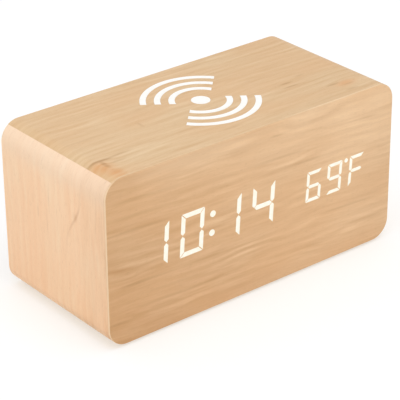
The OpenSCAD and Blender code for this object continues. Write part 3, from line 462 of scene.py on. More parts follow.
def shaded(name, mesh, *finishes):
    """Closes a mesh, turns its faces outwards, keeps its edges crisp and puts it in the scene."""
    work = bmesh.new()
    work.from_mesh(mesh)
    bmesh.ops.remove_doubles(work, verts=work.verts, dist=MERGE_WITHIN)
    bmesh.ops.recalc_face_normals(work, faces=work.faces)
    loose = sum(not edge.is_manifold for edge in work.edges)
    work.to_mesh(mesh)
    work.free()
    for finish in finishes:
        mesh.materials.append(finish)
    mesh.shade_smooth()
    mesh.set_sharp_from_angle(angle=EDGE_ANGLE)
    piece = bpy.data.objects.new(name, mesh)
    scene.collection.objects.link(piece)
    print(name, "-", len(mesh.polygons), "faces,", loose, "open edges")
    return piece


print("edges that turn more than", round(math.degrees(EDGE_ANGLE)), "degrees stay crisp")

# %% [markdown]
# The boards, the veneer and the screws are all closed shells, made of rings of points with bands of faces
# between them and caps at the ends. Modelling by hand would extrude such rings one by one. A small class
# keeps the points and faces of one shell instead, and it can leave windows open in a cap, which Blender's
# polygon filler then works round.

# %% Closed shells
class Shell:
    """Collects rings, bands and caps, and turns them into one piece."""

    def __init__(self):
        self.points, self.faces, self.finish = [], [], []

    def ring(self, points):
        """Adds a loop of points and gives their numbers."""
        start = len(self.points)
        self.points += [Vector(p) for p in points]
        return list(range(start, len(self.points)))

    def face(self, corners, finish=0):
        """Adds one face."""
        self.faces.append(corners)
        self.finish.append(finish)

    def band(self, a, b, finish=0, skip=()):
        """Joins two rings by faces, leaving out the sides named in skip."""
        for i in range(len(a)):
            j = (i + 1) % len(a)
            if i not in skip:
                self.face((a[i], a[j], b[j], b[i]), finish)

    def cap(self, ring, windows=(), finish=0):
        """Fills a ring, but not the windows in it. The filler works best in millimetres."""
        loops = [ring, *windows]
        order = [i for loop in loops for i in loop]
        drawn = [[self.points[i] / MM for i in loop] for loop in loops]
        for corners in tessellate_polygon(drawn):
            self.face([order[c] for c in corners], finish)

    def piece(self, name, *finishes):
        """Turns what was collected into a piece in the scene."""
        mesh = bpy.data.meshes.new(name)
        mesh.from_pydata(self.points, [], self.faces)
        mesh.polygons.foreach_set("material_index", self.finish)
        return shaded(name, mesh, *finishes)


print("steps of building a shell:", ", ".join(step for step in vars(Shell) if not step.startswith("_")))

# %% [markdown]
# A new piece has to move with the clock. It says which moving body it rides on and which packed pieces
# it stands for, and those are then hidden. Parenting would also make it move, but this way the motion
# stays with the packed model.

# %% Riding on the packed clock
def dress(piece, body, slot, *stands_for):
    """Says which body a piece moves with and which packed pieces it stands for. The slot is not used."""
    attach(piece, body)
    if stands_for:
        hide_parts(*stands_for)
    return piece


# %% [markdown]
# An inlay and its opening must match to a hair. Instead of drawing the digits and the mark a second time,
# the openings are read from the packed boards: the faces that lie furthest out on one side are found, and
# the edges round them are walked into loops. The longest loop is the board's own outline.

# %% Openings of the packed boards
PACKED_WITHIN, FLAT_WITHIN = 2 * MICRON, 1 * MICRON


def merged(node):
    """A packed piece as an editable mesh, its loose triangles joined."""
    work = bmesh.new()
    work.from_mesh(nodes[node].data)
    bmesh.ops.remove_doubles(work, verts=work.verts, dist=PACKED_WITHIN)
    return work


def openings(node, axis, way):
    """The loops inside the outermost flat face of a packed piece, and the loop round it."""
    work = merged(node)
    far = max(v.co[axis] * way for v in work.verts)
    flat = {f for f in work.faces if all(abs(v.co[axis] * way - far) < FLAT_WITHIN for v in f.verts)}
    after = {}
    for edge in work.edges:
        if sum(f in flat for f in edge.link_faces) == 1:
            for v in edge.verts:
                after.setdefault(v, []).append(edge.other_vert(v))
    loops = []
    while after:
        loop, previous, here = [], None, next(iter(after))
        while here in after:
            loop.append(here.co.copy())
            following = [v for v in after.pop(here) if v is not previous]
            previous, here = here, following[0]
        loops.append(loop)
    work.free()
    loops.sort(key=lambda loop: sum((a - b).length for a, b in zip(loop, loop[1:])))
    return loops[:-1], loops[-1]


digit_windows, _ = openings("front_veneer", 1, -1)
mark_windows, top_flat = openings("top_board", 2, 1)
foot_windows, _ = openings("bottom_board", 2, -1)
print("openings:", len(digit_windows), "in the front,", len(mark_windows), "in the top,",
      len(foot_windows), "underneath")

# %% [markdown]
# Where an inlay meets the wood, a hair-thin groove shows. A Bevel modifier would round other edges too,
# so the groove is built: it needs each loop a second time, a little larger. Moving every point along the
# line that halves its corner does that, and the move is longer at a sharp corner, so the groove keeps its
# width.

# %% Growing a loop
SHARPEST = 0.35


def grown(loop, axis, amount):
    """The loop moved outwards in its own plane."""
    first, second = [a for a in (0, 1, 2) if a != axis]
    flat = [Vector((p[first], p[second])) for p in loop]
    count = len(flat)
    area = sum(flat[i].cross(flat[(i + 1) % count]) for i in range(count))
    side = 1 if area > 0 else -1
    moved = []
    for i, point in enumerate(flat):
        before = (point - flat[i - 1]).normalized()
        after = (flat[(i + 1) % count] - point).normalized()
        out_a, out_b = (Vector((d.y, -d.x)) * side for d in (before, after))
        half = (out_a + out_b).normalized()
        step = half * amount / max(half.dot(out_a), SHARPEST)
        place = loop[i].copy()
        place[first] += step.x
        place[second] += step.y
        moved.append(place)
    return moved


def at(loop, axis, value):
    """The loop laid at another depth."""
    placed = [p.copy() for p in loop]
    for p in placed:
        p[axis] = value
    return placed


print("a sharp corner moves up to", round(1 / SHARPEST, 1), "times as far as a side")

# %% [markdown]
# An opening is three loops: a wide mouth at the face, a throat one groove deeper, and the end at the
# floor. The groove's slope lies between the first two, so it catches the light as a fine line round the
# inlay.

# %% Grooved openings
GROOVE = 0.12 * MM


def sink(shell, loops, axis, face, inward, floor):
    """Cuts grooved openings from a flat face down to a floor. Gives the rings at either end."""
    mouths, ends = [], []
    for loop in loops:
        mouth = shell.ring(at(grown(loop, axis, GROOVE), axis, face))
        throat = shell.ring(at(loop, axis, face + inward * GROOVE))
        end = shell.ring(at(loop, axis, floor))
        shell.band(mouth, throat)
        shell.band(throat, end)
        mouths.append(mouth)
        ends.append(end)
    return mouths, ends


print("groove in mm:", GROOVE / MM)

# %% [markdown]
# The four boards of the case are cut on a slant where they meet, and the long edges are rounded after
# gluing, so a part of each round belongs to each board. The angle at which a joint shows on the round
# follows from how far the packed top board reaches. The packed boards could stay as they are, but an
# eased rear end and grooved openings need faces of their own. So the cross-section is drawn anew in the
# front view: up one round, along the flat, down the other round and back along the inside. The other
# boards are quarter turns of it.

# %% Cross-section of a board
case_low, case_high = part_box("front_veneer")
veneer_back = case_high.y
inner_low, inner_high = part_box("front_board")
edge_round = case_high.x - max(p.x for p in top_flat)
joint_angle = math.acos((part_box("top_board")[1].x - case_high.x + edge_round) / edge_round)
ROUND_STEPS = 14
# The cosine and sine of no turn and of one, two and three quarter turns
QUARTER_TURNS = ((1, 0), (0, 1), (-1, 0), (0, -1))


def board_section(turn, inset=0.0):
    """A board's outline in the front view. turn is 0 for the top, 1 left, 2 bottom and 3 right."""
    half_w = (case_high.x - case_low.x) / 2
    half_h = (case_high.z - case_low.z) / 2
    inner_w = (inner_high.x - inner_low.x) / 2 + inset
    inner_h = (inner_high.z - inner_low.z) / 2 + inset
    start = joint_angle
    if turn % 2:
        half_w, half_h, inner_w, inner_h = half_h, half_w, inner_h, inner_w
        start = math.pi / 2 - joint_angle
    reach = edge_round - inset
    outline = []
    for side in (1, -1):
        for i in range(ROUND_STEPS + 1):
            share = i / ROUND_STEPS if side > 0 else 1 - i / ROUND_STEPS
            angle = start + (math.pi / 2 - start) * share
            outline.append((side * (half_w - edge_round + reach * math.cos(angle)),
                            half_h - edge_round + reach * math.sin(angle)))
    outline += [(-inner_w, inner_h), (inner_w, inner_h)]
    middle = (case_high.z + case_low.z) / 2
    c, s = QUARTER_TURNS[turn]
    return [(x * c - z * s, middle + x * s + z * c) for x, z in outline]


print("edges rounded to", round(edge_round / MM, 2), "mm, joints", round(math.degrees(joint_angle)),
      "degrees up the round")

# %% [markdown]
# Each board is its cross-section drawn out from front to back, with a small ease round the rear end,
# where fingers would feel a raw edge. A curve with a bevel object could do that, but the top also has the
# openings of the mark and the underside those of the feet, which a shell's cap can hold.

# %% Boards of the case
case_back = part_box("top_board")[1].y
EASE = 0.35 * MM


def board(name, turn, finish, rim, loops=(), depth=0.0):
    """One mitred board and its rear rim. Its outer flat may have grooved openings of a given depth."""
    shell = Shell()
    section, eased = board_section(turn), board_section(turn, EASE)
    front = shell.ring([(x, veneer_back, z) for x, z in section])
    rear = shell.ring([(x, case_back - EASE, z) for x, z in section])
    end = shell.ring([(x, case_back, z) for x, z in eased])
    flat = ROUND_STEPS
    shell.cap(front)
    shell.band(front, rear, skip=(flat,) if loops else ())
    shell.band(rear, end, finish=1)
    shell.cap(end, finish=1)
    if loops:
        face = shell.points[front[flat]].z
        inward = -1 if turn == 0 else 1
        mouths, floors = sink(shell, loops, 2, face, inward, face + inward * depth)
        shell.cap([front[flat], front[flat + 1], rear[flat + 1], rear[flat]], mouths)
        for floor in floors:
            shell.cap(floor)
    return shell.piece(name, finish, rim)


mark_low, mark_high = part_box("charge_mark")
foot_low, foot_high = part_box("foot_pads")
dress(board("top_board_grained", 0, top_wood, level_rim, mark_windows, mark_high.z - mark_low.z),
      "case", "board_wood", "top_board")
dress(board("left_board_grained", 1, left_wood, upright_rim), "case", "board_wood", "left_board")
dress(board("bottom_board_grained", 2, base_wood, level_rim, foot_windows, foot_high.z - case_low.z),
      "case", "board_wood", "bottom_board")
dress(board("right_board_grained", 3, right_wood, upright_rim), "case", "board_wood", "right_board")

# %% [markdown]
# One thin sheet of veneer covers the whole front, so that no joint shows there. Its outline is a
# rectangle with round corners, its outer edge is eased, and each lit bar has its own window. Cutting the
# windows with a boolean would work too, but a cap with windows gives cleaner faces and puts the fine
# groove in place.

# %% Veneer
VENEER_EASE = 0.2 * MM
CORNER_STEPS = 2 * ROUND_STEPS


def front_outline(inset=0.0):
    """The rounded rectangle of the front, in the front view."""
    reach = edge_round - inset
    outline = []
    for quarter, (sx, sz) in enumerate(((1, 1), (-1, 1), (-1, -1), (1, -1))):
        x = (case_high.x if sx > 0 else case_low.x) - sx * edge_round
        z = (case_high.z if sz > 0 else case_low.z) - sz * edge_round
        for i in range(CORNER_STEPS + 1):
            angle = math.pi / 2 * (quarter + i / CORNER_STEPS)
            outline.append((x + reach * math.cos(angle), z + reach * math.sin(angle)))
    return outline


shell = Shell()
front_face = shell.ring([(x, case_low.y, z) for x, z in front_outline(VENEER_EASE)])
front_edge = shell.ring([(x, case_low.y + VENEER_EASE, z) for x, z in front_outline()])
front_rear = shell.ring([(x, veneer_back, z) for x, z in front_outline()])
mouths, ends = sink(shell, digit_windows, 1, case_low.y, 1, veneer_back)
shell.cap(front_face, mouths)
shell.band(front_face, front_edge, finish=1)
shell.band(front_edge, front_rear, finish=1)
shell.cap(front_rear, ends)
dress(shell.piece("front_veneer_grained", front_wood, veneer_edge), "case", "front_wood", "front_veneer")

# %% [markdown]
# On the real clock the digits shine through the thin veneer. A lamp behind a sheet that lets light
# through could be rendered, but it would be slow and grainy, so each bar is an inlay of milky plastic
# that glows. A plain emission would be a flat patch, so the glow is a little weaker where the plastic is
# cloudy, and the plastic still has a soft gloss of its own. The bars keep their packed shape and only get
# this finish.

# %% Lit bars
def refinish(finish, *names):
    """Gives packed pieces a new finish."""
    for name in names:
        slots = nodes[name].data.materials
        slots.clear()
        slots.append(finish)
    print(finish.name, "on", ", ".join(names))


MILK_SCALE, GLOW, BAR_ROUGH = 700.0, 0.8, 0.5
lit_white, tree, shader = new_finish("lit_white")
milk = stretched(tree, cloud(tree, object_place(tree), MILK_SCALE))
glow = blend(tree, milk, colour(255, 251, 233), colour(255, 254, 243))
skin = blend(tree, milk, colour(120, 116, 104), colour(132, 128, 116))
tree.links.new(glow, shader.inputs["Emission Color"])
tree.links.new(skin, shader.inputs["Base Color"])
shader.inputs["Emission Strength"].default_value = GLOW
shader.inputs["Roughness"].default_value = BAR_ROUGH
refinish(lit_white, "time_segments", "temperature_segments")

# %% [markdown]
# The mark on the top is white filler, rubbed flat after it has set. Plain white would look printed, so
# slow changes of tone, fine pits and an uneven gloss show that it is a paste in a groove.

# %% White mark
CHALK_SCALE, PIT_SCALE, PIT_DEPTH, PIT_ROUGH = 400.0, 2600.0, 10 * MICRON, (0.4, 0.6)
mark_white, tree, shader = new_finish("mark_white")
chalk = stretched(tree, cloud(tree, object_place(tree), CHALK_SCALE, detail=3.0))
pits = cloud(tree, object_place(tree), PIT_SCALE, detail=1.0)
tree.links.new(blend(tree, chalk, colour(250, 248, 243), colour(253, 252, 249)), shader.inputs["Base Color"])
tree.links.new(stretched(tree, pits, *PIT_ROUGH), shader.inputs["Roughness"])
bump(tree, shader, pits, PIT_DEPTH)
refinish(mark_white, "charge_mark")

# %% [markdown]
# The back is moulded plastic. A mould is etched so that the plastic comes out with a fine matt grain,
# which hides flow marks. The same recipe, with other colours and grain sizes, serves the rubber feet, the
# switch bodies, the sockets and the other moulded pieces inside.

# %% Moulded finishes
WORN_SCALE, WORN_GLOSS = 60.0, 0.07


def moulded(name, dark, light, grain_scale, depth, rough, shine=0.5):
    """Moulded plastic or rubber: an even colour with a fine cast grain and a few handled, shinier places."""
    finish, tree, shader = new_finish(name)
    skin = cloud(tree, object_place(tree), grain_scale)
    worn = cloud(tree, object_place(tree), WORN_SCALE)
    shade = calc(tree, "MULTIPLY_ADD", stretched(tree, skin), 0.5,
                 calc(tree, "MULTIPLY", stretched(tree, worn), 0.5))
    tree.links.new(blend(tree, shade, dark, light), shader.inputs["Base Color"])
    tree.links.new(stretched(tree, worn, rough - WORN_GLOSS, rough + WORN_GLOSS), shader.inputs["Roughness"])
    shader.inputs["Specular IOR Level"].default_value = shine
    bump(tree, shader, skin, depth)
    return finish


# Name, darker and lighter tone, grains per metre, their depth, roughness and, for rubber, a lower shine
panel_black = moulded("panel_black", colour(26, 26, 28), colour(36, 36, 39), 3200, 40 * MICRON, 0.5)
button_black = moulded("button_black", colour(22, 22, 24), colour(30, 30, 32), 5000, 10 * MICRON, 0.34)
foot_rubber = moulded("foot_rubber", colour(34, 33, 32), colour(46, 45, 44), 2200, 50 * MICRON, 0.75, 0.3)
chip_black = moulded("chip_black", colour(20, 20, 22), colour(30, 30, 33), 4200, 10 * MICRON, 0.55)
switch_grey = moulded("switch_grey", colour(84, 86, 90), colour(98, 100, 104), 3600, 20 * MICRON, 0.5)
housing_white = moulded("housing_white", colour(233, 232, 228), colour(243, 242, 239), 2600, 30 * MICRON, 0.5)
plug_white = moulded("plug_white", colour(228, 224, 212), colour(240, 236, 226), 3000, 20 * MICRON, 0.45)
cable_white = moulded("cable_white", colour(226, 226, 224), colour(240, 240, 238), 1500, 10 * MICRON, 0.4)
lead_black = moulded("lead_black", colour(24, 24, 25), colour(34, 34, 36), 1500, 20 * MICRON, 0.5)
film_white = moulded("film_white", colour(240, 240, 238), colour(250, 250, 248), 1200, 10 * MICRON, 0.35)
ferrite_grey = moulded("ferrite_grey", colour(58, 58, 62), colour(78, 78, 82), 1900, 30 * MICRON, 0.65)
light_chip = moulded("light_chip", colour(232, 206, 120), colour(246, 226, 150), 5200, 10 * MICRON, 0.35)
sensor_amber = moulded("sensor_amber", colour(168, 92, 30), colour(196, 118, 44), 1400, 30 * MICRON, 0.28)
circuit_green = moulded("circuit_green", colour(22, 82, 48), colour(34, 104, 62), 900, 20 * MICRON, 0.36)
print("finishes so far:", len(bpy.data.materials))

# %% [markdown]
# The screws, the power socket, the contact and the coil are metal. A metal shader with one colour looks
# like grey paint, because real plating has slow changes of tone and fine polishing marks that break up
# its reflections. The marks may be drawn out along the piece, as they are on a socket that was rolled
# from sheet.

# %% Metal finishes
POLISH_SCALE, TARNISH_SCALE = 6000.0, 350.0
POLISH_SHARE, POLISH_DULLS, POLISH_DEPTH = 0.2, 0.1, 0.8 * MICRON


def plated(name, dark, light, rough, along_x=1.0):
    """Plated or bare metal with slow changes of tone and fine polishing marks."""
    finish, tree, shader = new_finish(name)
    place = object_place(tree)
    rubbed = put(tree, "ShaderNodeMapping", {"Vector": place, "Scale": (along_x, 1.0, 1.0)}).outputs[0]
    polish = stretched(tree, cloud(tree, rubbed, POLISH_SCALE, detail=1.0))
    tarnish = stretched(tree, cloud(tree, place, TARNISH_SCALE))
    tone = calc(tree, "MULTIPLY_ADD", polish, POLISH_SHARE,
                calc(tree, "MULTIPLY", tarnish, 1.0 - POLISH_SHARE))
    tree.links.new(blend(tree, tone, dark, light), shader.inputs["Base Color"])
    tree.links.new(calc(tree, "MULTIPLY_ADD", polish, POLISH_DULLS, rough), shader.inputs["Roughness"])
    shader.inputs["Metallic"].default_value = 1.0
    bump(tree, shader, polish, POLISH_DEPTH)
    return finish


# Name, darker and lighter tone, roughness and, for rolled sheet, how slowly the marks change along it
screw_steel = plated("screw_steel", colour(158, 160, 164), colour(196, 198, 202), 0.24)
socket_steel = plated("socket_steel", colour(176, 178, 180), colour(206, 208, 210), 0.2, along_x=0.1)
contact_gold = plated("contact_gold", colour(202, 160, 74), colour(228, 190, 104), 0.22)
coil_copper = plated("coil_copper", colour(176, 98, 52), colour(206, 128, 76), 0.28)
print("finishes in all:", len(bpy.data.materials))

# %% [markdown]
# A round and two arrow heads stand up from the buttons, so that a finger can tell them apart in the dark.
# A pale ink is wiped over them and stays on the raised tops only. Separate white pieces would do, but ink
# has no thickness, so it is mixed in by height: the outermost tenth of a millimetre of a button is inked.

# %% Ink on the raised marks
INK_DEPTH, INK_EDGE = 0.1 * MM, 0.04 * MM
INK_PALE = colour(186, 186, 184)
mark_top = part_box("set_button")[1].y
tree = button_black.node_tree
base = tree.nodes["Principled BSDF"].inputs["Base Color"]
height = separated(tree, object_place(tree))["Y"]
inked = spread(tree, height, mark_top - INK_DEPTH, mark_top - INK_DEPTH + INK_EDGE)
tree.links.new(blend(tree, inked, base.links[0].from_socket, INK_PALE), base)
print("inked: the outer", INK_DEPTH / MM, "mm of each button")

# %% [markdown]
# What repeats on the clock is made by Geometry Nodes, Blender's node trees for shapes. These helpers
# start a tree with named inputs for its sizes, end it by making its instances real and giving them their
# finish, and run it on an empty holder, so that a plain mesh comes out. The modifier could stay on the
# piece, but a plain mesh is what the export and the joints can use.

# %% Helpers for node trees of shapes
def new_tree(name, inputs):
    """An empty tree with named inputs. Gives the tree, its inputs, its end and the inputs' identifiers."""
    tree = bpy.data.node_groups.new(name, "GeometryNodeTree")
    ids = {}
    for label, kind in inputs.items():
        socket = tree.interface.new_socket(label, in_out="INPUT", socket_type="NodeSocket" + kind)
        ids[label] = socket.identifier
    tree.interface.new_socket("Geometry", in_out="OUTPUT", socket_type="NodeSocketGeometry")
    print("tree", name, "with inputs", ", ".join(inputs))
    return tree, put(tree, "NodeGroupInput").outputs, put(tree, "NodeGroupOutput").inputs[0], ids


def realised(tree, instances, finish, end):
    """Ends a tree: real geometry with its finish."""
    solid = put(tree, "GeometryNodeRealizeInstances", {"Geometry": instances}).outputs[0]
    solid = put(tree, "GeometryNodeSetMaterial", {"Geometry": solid, "Material": finish}).outputs[0]
    tree.links.new(solid, end)


def grown_from(tree, ids, name, finish, **values):
    """Runs a tree on an empty holder and keeps the result as a plain piece."""
    holder = bpy.data.objects.new(name + "_holder", bpy.data.meshes.new(name + "_holder"))
    scene.collection.objects.link(holder)
    modifier = holder.modifiers.new("Nodes", "NODES")
    modifier.node_group = tree
    for label, value in {**values, "Finish": finish}.items():
        modifier[ids[label.replace("_", " ")]] = value
    graph = bpy.context.evaluated_depsgraph_get()
    mesh = bpy.data.meshes.new_from_object(holder.evaluated_get(graph), depsgraph=graph)
    mesh.name = name
    holder.modifiers.clear()
    bpy.data.objects.remove(holder)
    return shaded(name, mesh)


print("node trees of shapes so far:", len(bpy.data.node_groups))

# %% [markdown]
# The feet and the screws repeat at the four corners of a rectangle. Copying objects by hand would do for
# four, but a node tree keeps the copies tied to two sizes: a grid of two by two points, one instance on
# each.

# %% Node tree that sets a piece at four corners
corner_tree, given, end, corner_ids = new_tree("Four corners", {
    "Geometry": "Geometry", "Piece": "Object", "Width": "Float", "Depth": "Float", "Turn": "Rotation",
    "Middle": "Vector", "Finish": "Material"})
points = put(corner_tree, "GeometryNodeMeshGrid", {"Size X": given["Width"], "Size Y": given["Depth"],
                                                   "Vertices X": 2, "Vertices Y": 2}).outputs["Mesh"]
points = put(corner_tree, "GeometryNodeTransform", {"Geometry": points, "Rotation": given["Turn"],
                                                    "Translation": given["Middle"]}).outputs[0]
copied = put(corner_tree, "GeometryNodeObjectInfo", {"Object": given["Piece"]}).outputs["Geometry"]
placed = put(corner_tree, "GeometryNodeInstanceOnPoints", {"Points": points, "Instance": copied}).outputs[0]
realised(corner_tree, placed, given["Finish"], end)

# %% [markdown]
# The feet, the screws and the reserve cell are round, as if turned on a lathe. Blender has a Screw
# modifier for such shapes, but rings in a shell let a cap with a window close the end. An outline is a
# list of radii and heights, and each of its points becomes one ring.

# %% Lathe shapes
TURNED_STEPS = 48


def quarter_round(steps):
    """The angles of a quarter circle."""
    return [math.pi / 2 * i / steps for i in range(steps + 1)]


def lathe(shell, outline, axis=2, steps=TURNED_STEPS):
    """Rings for an outline of (radius, height) points, with bands between them. Gives the rings."""
    rings = []
    for radius, height in outline:
        ring = []
        for i in range(steps):
            angle = math.tau * i / steps
            a, b = radius * math.cos(angle), radius * math.sin(angle)
            ring.append((a, b, height) if axis == 2 else (a, height, b))
        rings.append(shell.ring(ring))
    for lower, upper in zip(rings, rings[1:]):
        shell.band(lower, upper)
    return rings


print("points in a turned ring:", TURNED_STEPS)

# %% [markdown]
# A foot is a disc of rubber that was turned over at its rim by the mould, and its sole is slightly hollow
# so that it grips. A cylinder with a bevel would miss the hollow, so it is turned on the lathe, and the
# tree sets it at the four corners.

# %% Feet
FOOT_RADIUS, FOOT_RIM, RIM_STEPS = 6 * MM, 0.3 * MM, 4
# Shares of the radius, and heights
SOLE_PROFILE = ((0.62, 0.18 * MM), (0.78, 0.12 * MM), (0.84, 0))
foot_size = foot_high - foot_low
foot_middle = (foot_low + foot_high) / 2
sole = [(FOOT_RADIUS * share, height) for share, height in SOLE_PROFILE]
rim = [(FOOT_RADIUS - FOOT_RIM * (1 - math.sin(a)), FOOT_RIM * (1 - math.cos(a)))
       for a in quarter_round(RIM_STEPS)]
shell = Shell()
rings = lathe(shell, sole + rim + [(FOOT_RADIUS, foot_size.z)])
shell.cap(rings[0])
shell.cap(rings[-1])
one_foot = shell.piece("one_foot", foot_rubber)
feet = grown_from(corner_tree, corner_ids, "feet", foot_rubber, Piece=one_foot,
                  Width=foot_size.x - 2 * FOOT_RADIUS, Depth=foot_size.y - 2 * FOOT_RADIUS,
                  Middle=(foot_middle.x, foot_middle.y, foot_low.z))
bpy.data.objects.remove(one_foot)
dress(feet, "case", "foot_rubber", "foot_pads")

# %% [markdown]
# The screws have a cross-shaped recess and the reserve cell has a sunken plus sign. Either could be cut
# with a boolean, but a cap with a cross-shaped window is exact. The window has walls and a floor, so a
# driver would really fit.

# %% Cross-shaped recess
def cross_outline(long, wide):
    """The twelve corners of an upright cross, three for each quarter turn."""
    corners = ((wide, long), (wide, wide), (long, wide))
    return [(x * c + z * s, z * c - x * s) for c, s in QUARTER_TURNS for x, z in corners]


def recess(shell, rim, outline, height, depth, taper=1.0):
    """Closes a turned face that looks along the second axis, with a sunken outline in its middle."""
    mouth = shell.ring([(x, height, z) for x, z in outline])
    floor = shell.ring([(x * taper, height - depth, z * taper) for x, z in outline])
    shell.cap(rim, [mouth])
    shell.band(mouth, floor)
    shell.cap(floor)


print("corners of a cross:", len(cross_outline(2, 1)))

# %% [markdown]
# The back is held by four pan head screws. A screw is a lathe shape as well: a tip, a thread, and a domed
# head with the recess in its top. The thread is simplified to rings, since a true helix would hardly be
# seen.

# %% Screws of the back
HEAD_RADIUS, HEAD_HEIGHT, SHANK_RADIUS = 2.3 * MM, 1.4 * MM, 1.25 * MM
TIP_RADIUS, TIP_LONG = 0.25 * MM, 1.4 * MM
THREAD_PITCH, THREAD_ROOT, THREAD_FLANK = 0.9 * MM, 0.78, 0.3
CROSS_LONG, CROSS_WIDE, CROSS_DEEP, CROSS_TAPER = 1.45 * MM, 0.36 * MM, 0.8 * MM, 0.8
# Shares of the head's radius and height
DOME_PROFILE = ((1, 0), (1, 0.45), (0.97, 0.63), (0.92, 0.76), (0.86, 0.86), (0.78, 0.94), (0.7, 1))

screw_low, screw_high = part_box("back_screws")
screw_size = screw_high - screw_low
screw_middle = (screw_low + screw_high) / 2
shank = screw_size.y - HEAD_HEIGHT
outline = [(TIP_RADIUS, -shank), (SHANK_RADIUS, -shank + TIP_LONG)]
height = -shank + TIP_LONG
while height < -THREAD_PITCH:
    outline += [(SHANK_RADIUS * THREAD_ROOT, height + THREAD_PITCH * THREAD_FLANK),
                (SHANK_RADIUS, height + THREAD_PITCH)]
    height += THREAD_PITCH
outline.append((SHANK_RADIUS * THREAD_ROOT, 0))
outline += [(HEAD_RADIUS * r, HEAD_HEIGHT * h) for r, h in DOME_PROFILE]
shell = Shell()
rings = lathe(shell, outline, axis=1)
shell.cap(rings[0])
recess(shell, rings[-1], cross_outline(CROSS_LONG, CROSS_WIDE), HEAD_HEIGHT, CROSS_DEEP, CROSS_TAPER)
one_screw = shell.piece("one_screw", screw_steel)
screws = grown_from(corner_tree, corner_ids, "rear_screws", screw_steel, Piece=one_screw,
                    Width=screw_size.x - 2 * HEAD_RADIUS, Depth=screw_size.z - 2 * HEAD_RADIUS,
                    Turn=(math.pi / 2, 0, 0),
                    Middle=(screw_middle.x, screw_high.y - HEAD_HEIGHT, screw_middle.z))
bpy.data.objects.remove(one_screw)
dress(screws, "case", "screw_steel", "back_screws")

# %% [markdown]
# Behind the door lies the reserve cell. Its face was spun against a brush, so the marks run in rings. An
# anisotropic shader could fake that, but noise that is read by the radius alone also survives the export.

# %% Steel of the reserve cell
SPUN_SCALE, SMEAR_SCALE, SPUN_DEPTH, SPUN_ROUGH = 2400.0, 220.0, 2 * MICRON, (0.26, 0.38)
cell_low, cell_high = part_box("coin_cell")
cell_middle = (cell_low + cell_high) / 2
cell_steel, tree, shader = new_finish("cell_steel")
place = put(tree, "ShaderNodeVectorMath", {0: object_place(tree), 1: cell_middle},
            operation="SUBTRACT").outputs[0]
parts = separated(tree, place)
radius = length(tree, joined(tree, parts["X"], parts["Z"]))
spun = cloud(tree, joined(tree, calc(tree, "MULTIPLY", radius, SPUN_SCALE), 0.0), detail=3.0)
spun = stretched(tree, spun)
smear = stretched(tree, cloud(tree, place, SMEAR_SCALE))
tone = calc(tree, "MULTIPLY_ADD", spun, 0.5, calc(tree, "MULTIPLY", smear, 0.5))
tree.links.new(blend(tree, tone, colour(178, 179, 181), colour(204, 205, 206)), shader.inputs["Base Color"])
tree.links.new(spread(tree, tone, 0.0, 1.0, *SPUN_ROUGH), shader.inputs["Roughness"])
shader.inputs["Metallic"].default_value = 1.0
bump(tree, shader, spun, SPUN_DEPTH)
print("reserve cell of", round((cell_high.x - cell_low.x) / MM, 1), "mm across")

# %% [markdown]
# The cell is a steel can pressed shut over a smaller lid. A plain disc would not show that, so it is
# turned on the lathe too, with a rolled rim, a groove for the seal and, on the face that shows, a shallow
# plus sign for the pole.

# %% Reserve cell
CELL_RIM, CELL_STEPS = 0.4 * MM, 5
PLUS_LONG, PLUS_WIDE, PLUS_DEEP = 2.4 * MM, 0.35 * MM, 0.08 * MM
# Shares of the cell's radius and thickness
LID_PROFILE = ((0.84, 0), (0.86, 0.02), (0.87, 0.06), (0.88, 0.13), (0.94, 0.13), (0.97, 0.15), (0.99, 0.19),
               (1, 0.26))
cell_radius = (cell_high.x - cell_low.x) / 2
thick = cell_high.y - cell_low.y
lid = [(cell_radius * r, thick * (h - 0.5)) for r, h in LID_PROFILE]
can = [(cell_radius - CELL_RIM * (1 - math.cos(a)), thick / 2 - CELL_RIM * (1 - math.sin(a)))
       for a in quarter_round(CELL_STEPS)]
shell = Shell()
rings = lathe(shell, lid + can, axis=1)
shell.cap(rings[0])
recess(shell, rings[-1], cross_outline(PLUS_LONG, PLUS_WIDE), thick / 2, PLUS_DEEP)
shell.points = [p + cell_middle for p in shell.points]
dress(shell.piece("reserve_cell", cell_steel), "case", "socket_steel", "coin_cell")

# %% [markdown]
# The panel, its door, the buttons and the power socket have the right shape already, but a mould leaves
# no knife edges. Each is copied, its triangles are merged into whole faces, and every outer edge that
# turns sharply is eased. A Bevel modifier could do this live; doing it in the mesh leaves plain faces to
# export. Smooth shading would let the narrow eased strips tint the flats beside them, so a Weighted
# Normal modifier lets each large face lead the shading at its corners.

# %% Eased copies of moulded pieces
SHARP_EDGE, SAME_PLANE, EASE_STEPS = math.radians(35), math.radians(0.5), 2
PANEL_EASE, BUTTON_EASE, SOCKET_EASE = 0.2 * MM, 0.06 * MM, 0.1 * MM


def eased(node, finish, ease):
    """A copy of a packed piece with its outer edges eased."""
    work = merged(node)
    bmesh.ops.dissolve_limit(work, angle_limit=SAME_PLANE, verts=work.verts, edges=work.edges)
    edges = [e for e in work.edges if e.is_manifold and e.is_convex and e.calc_face_angle() > SHARP_EDGE]
    bmesh.ops.bevel(work, geom=edges, offset=ease, offset_type="OFFSET", segments=EASE_STEPS, profile=0.5,
                    affect="EDGES", clamp_overlap=True)
    bmesh.ops.triangulate(work, faces=work.faces)
    mesh = bpy.data.meshes.new(node + "_eased")
    work.to_mesh(mesh)
    work.free()
    piece = shaded(node + "_eased", mesh, finish)
    piece.modifiers.new("Large faces lead", "WEIGHTED_NORMAL").keep_sharp = True
    return piece


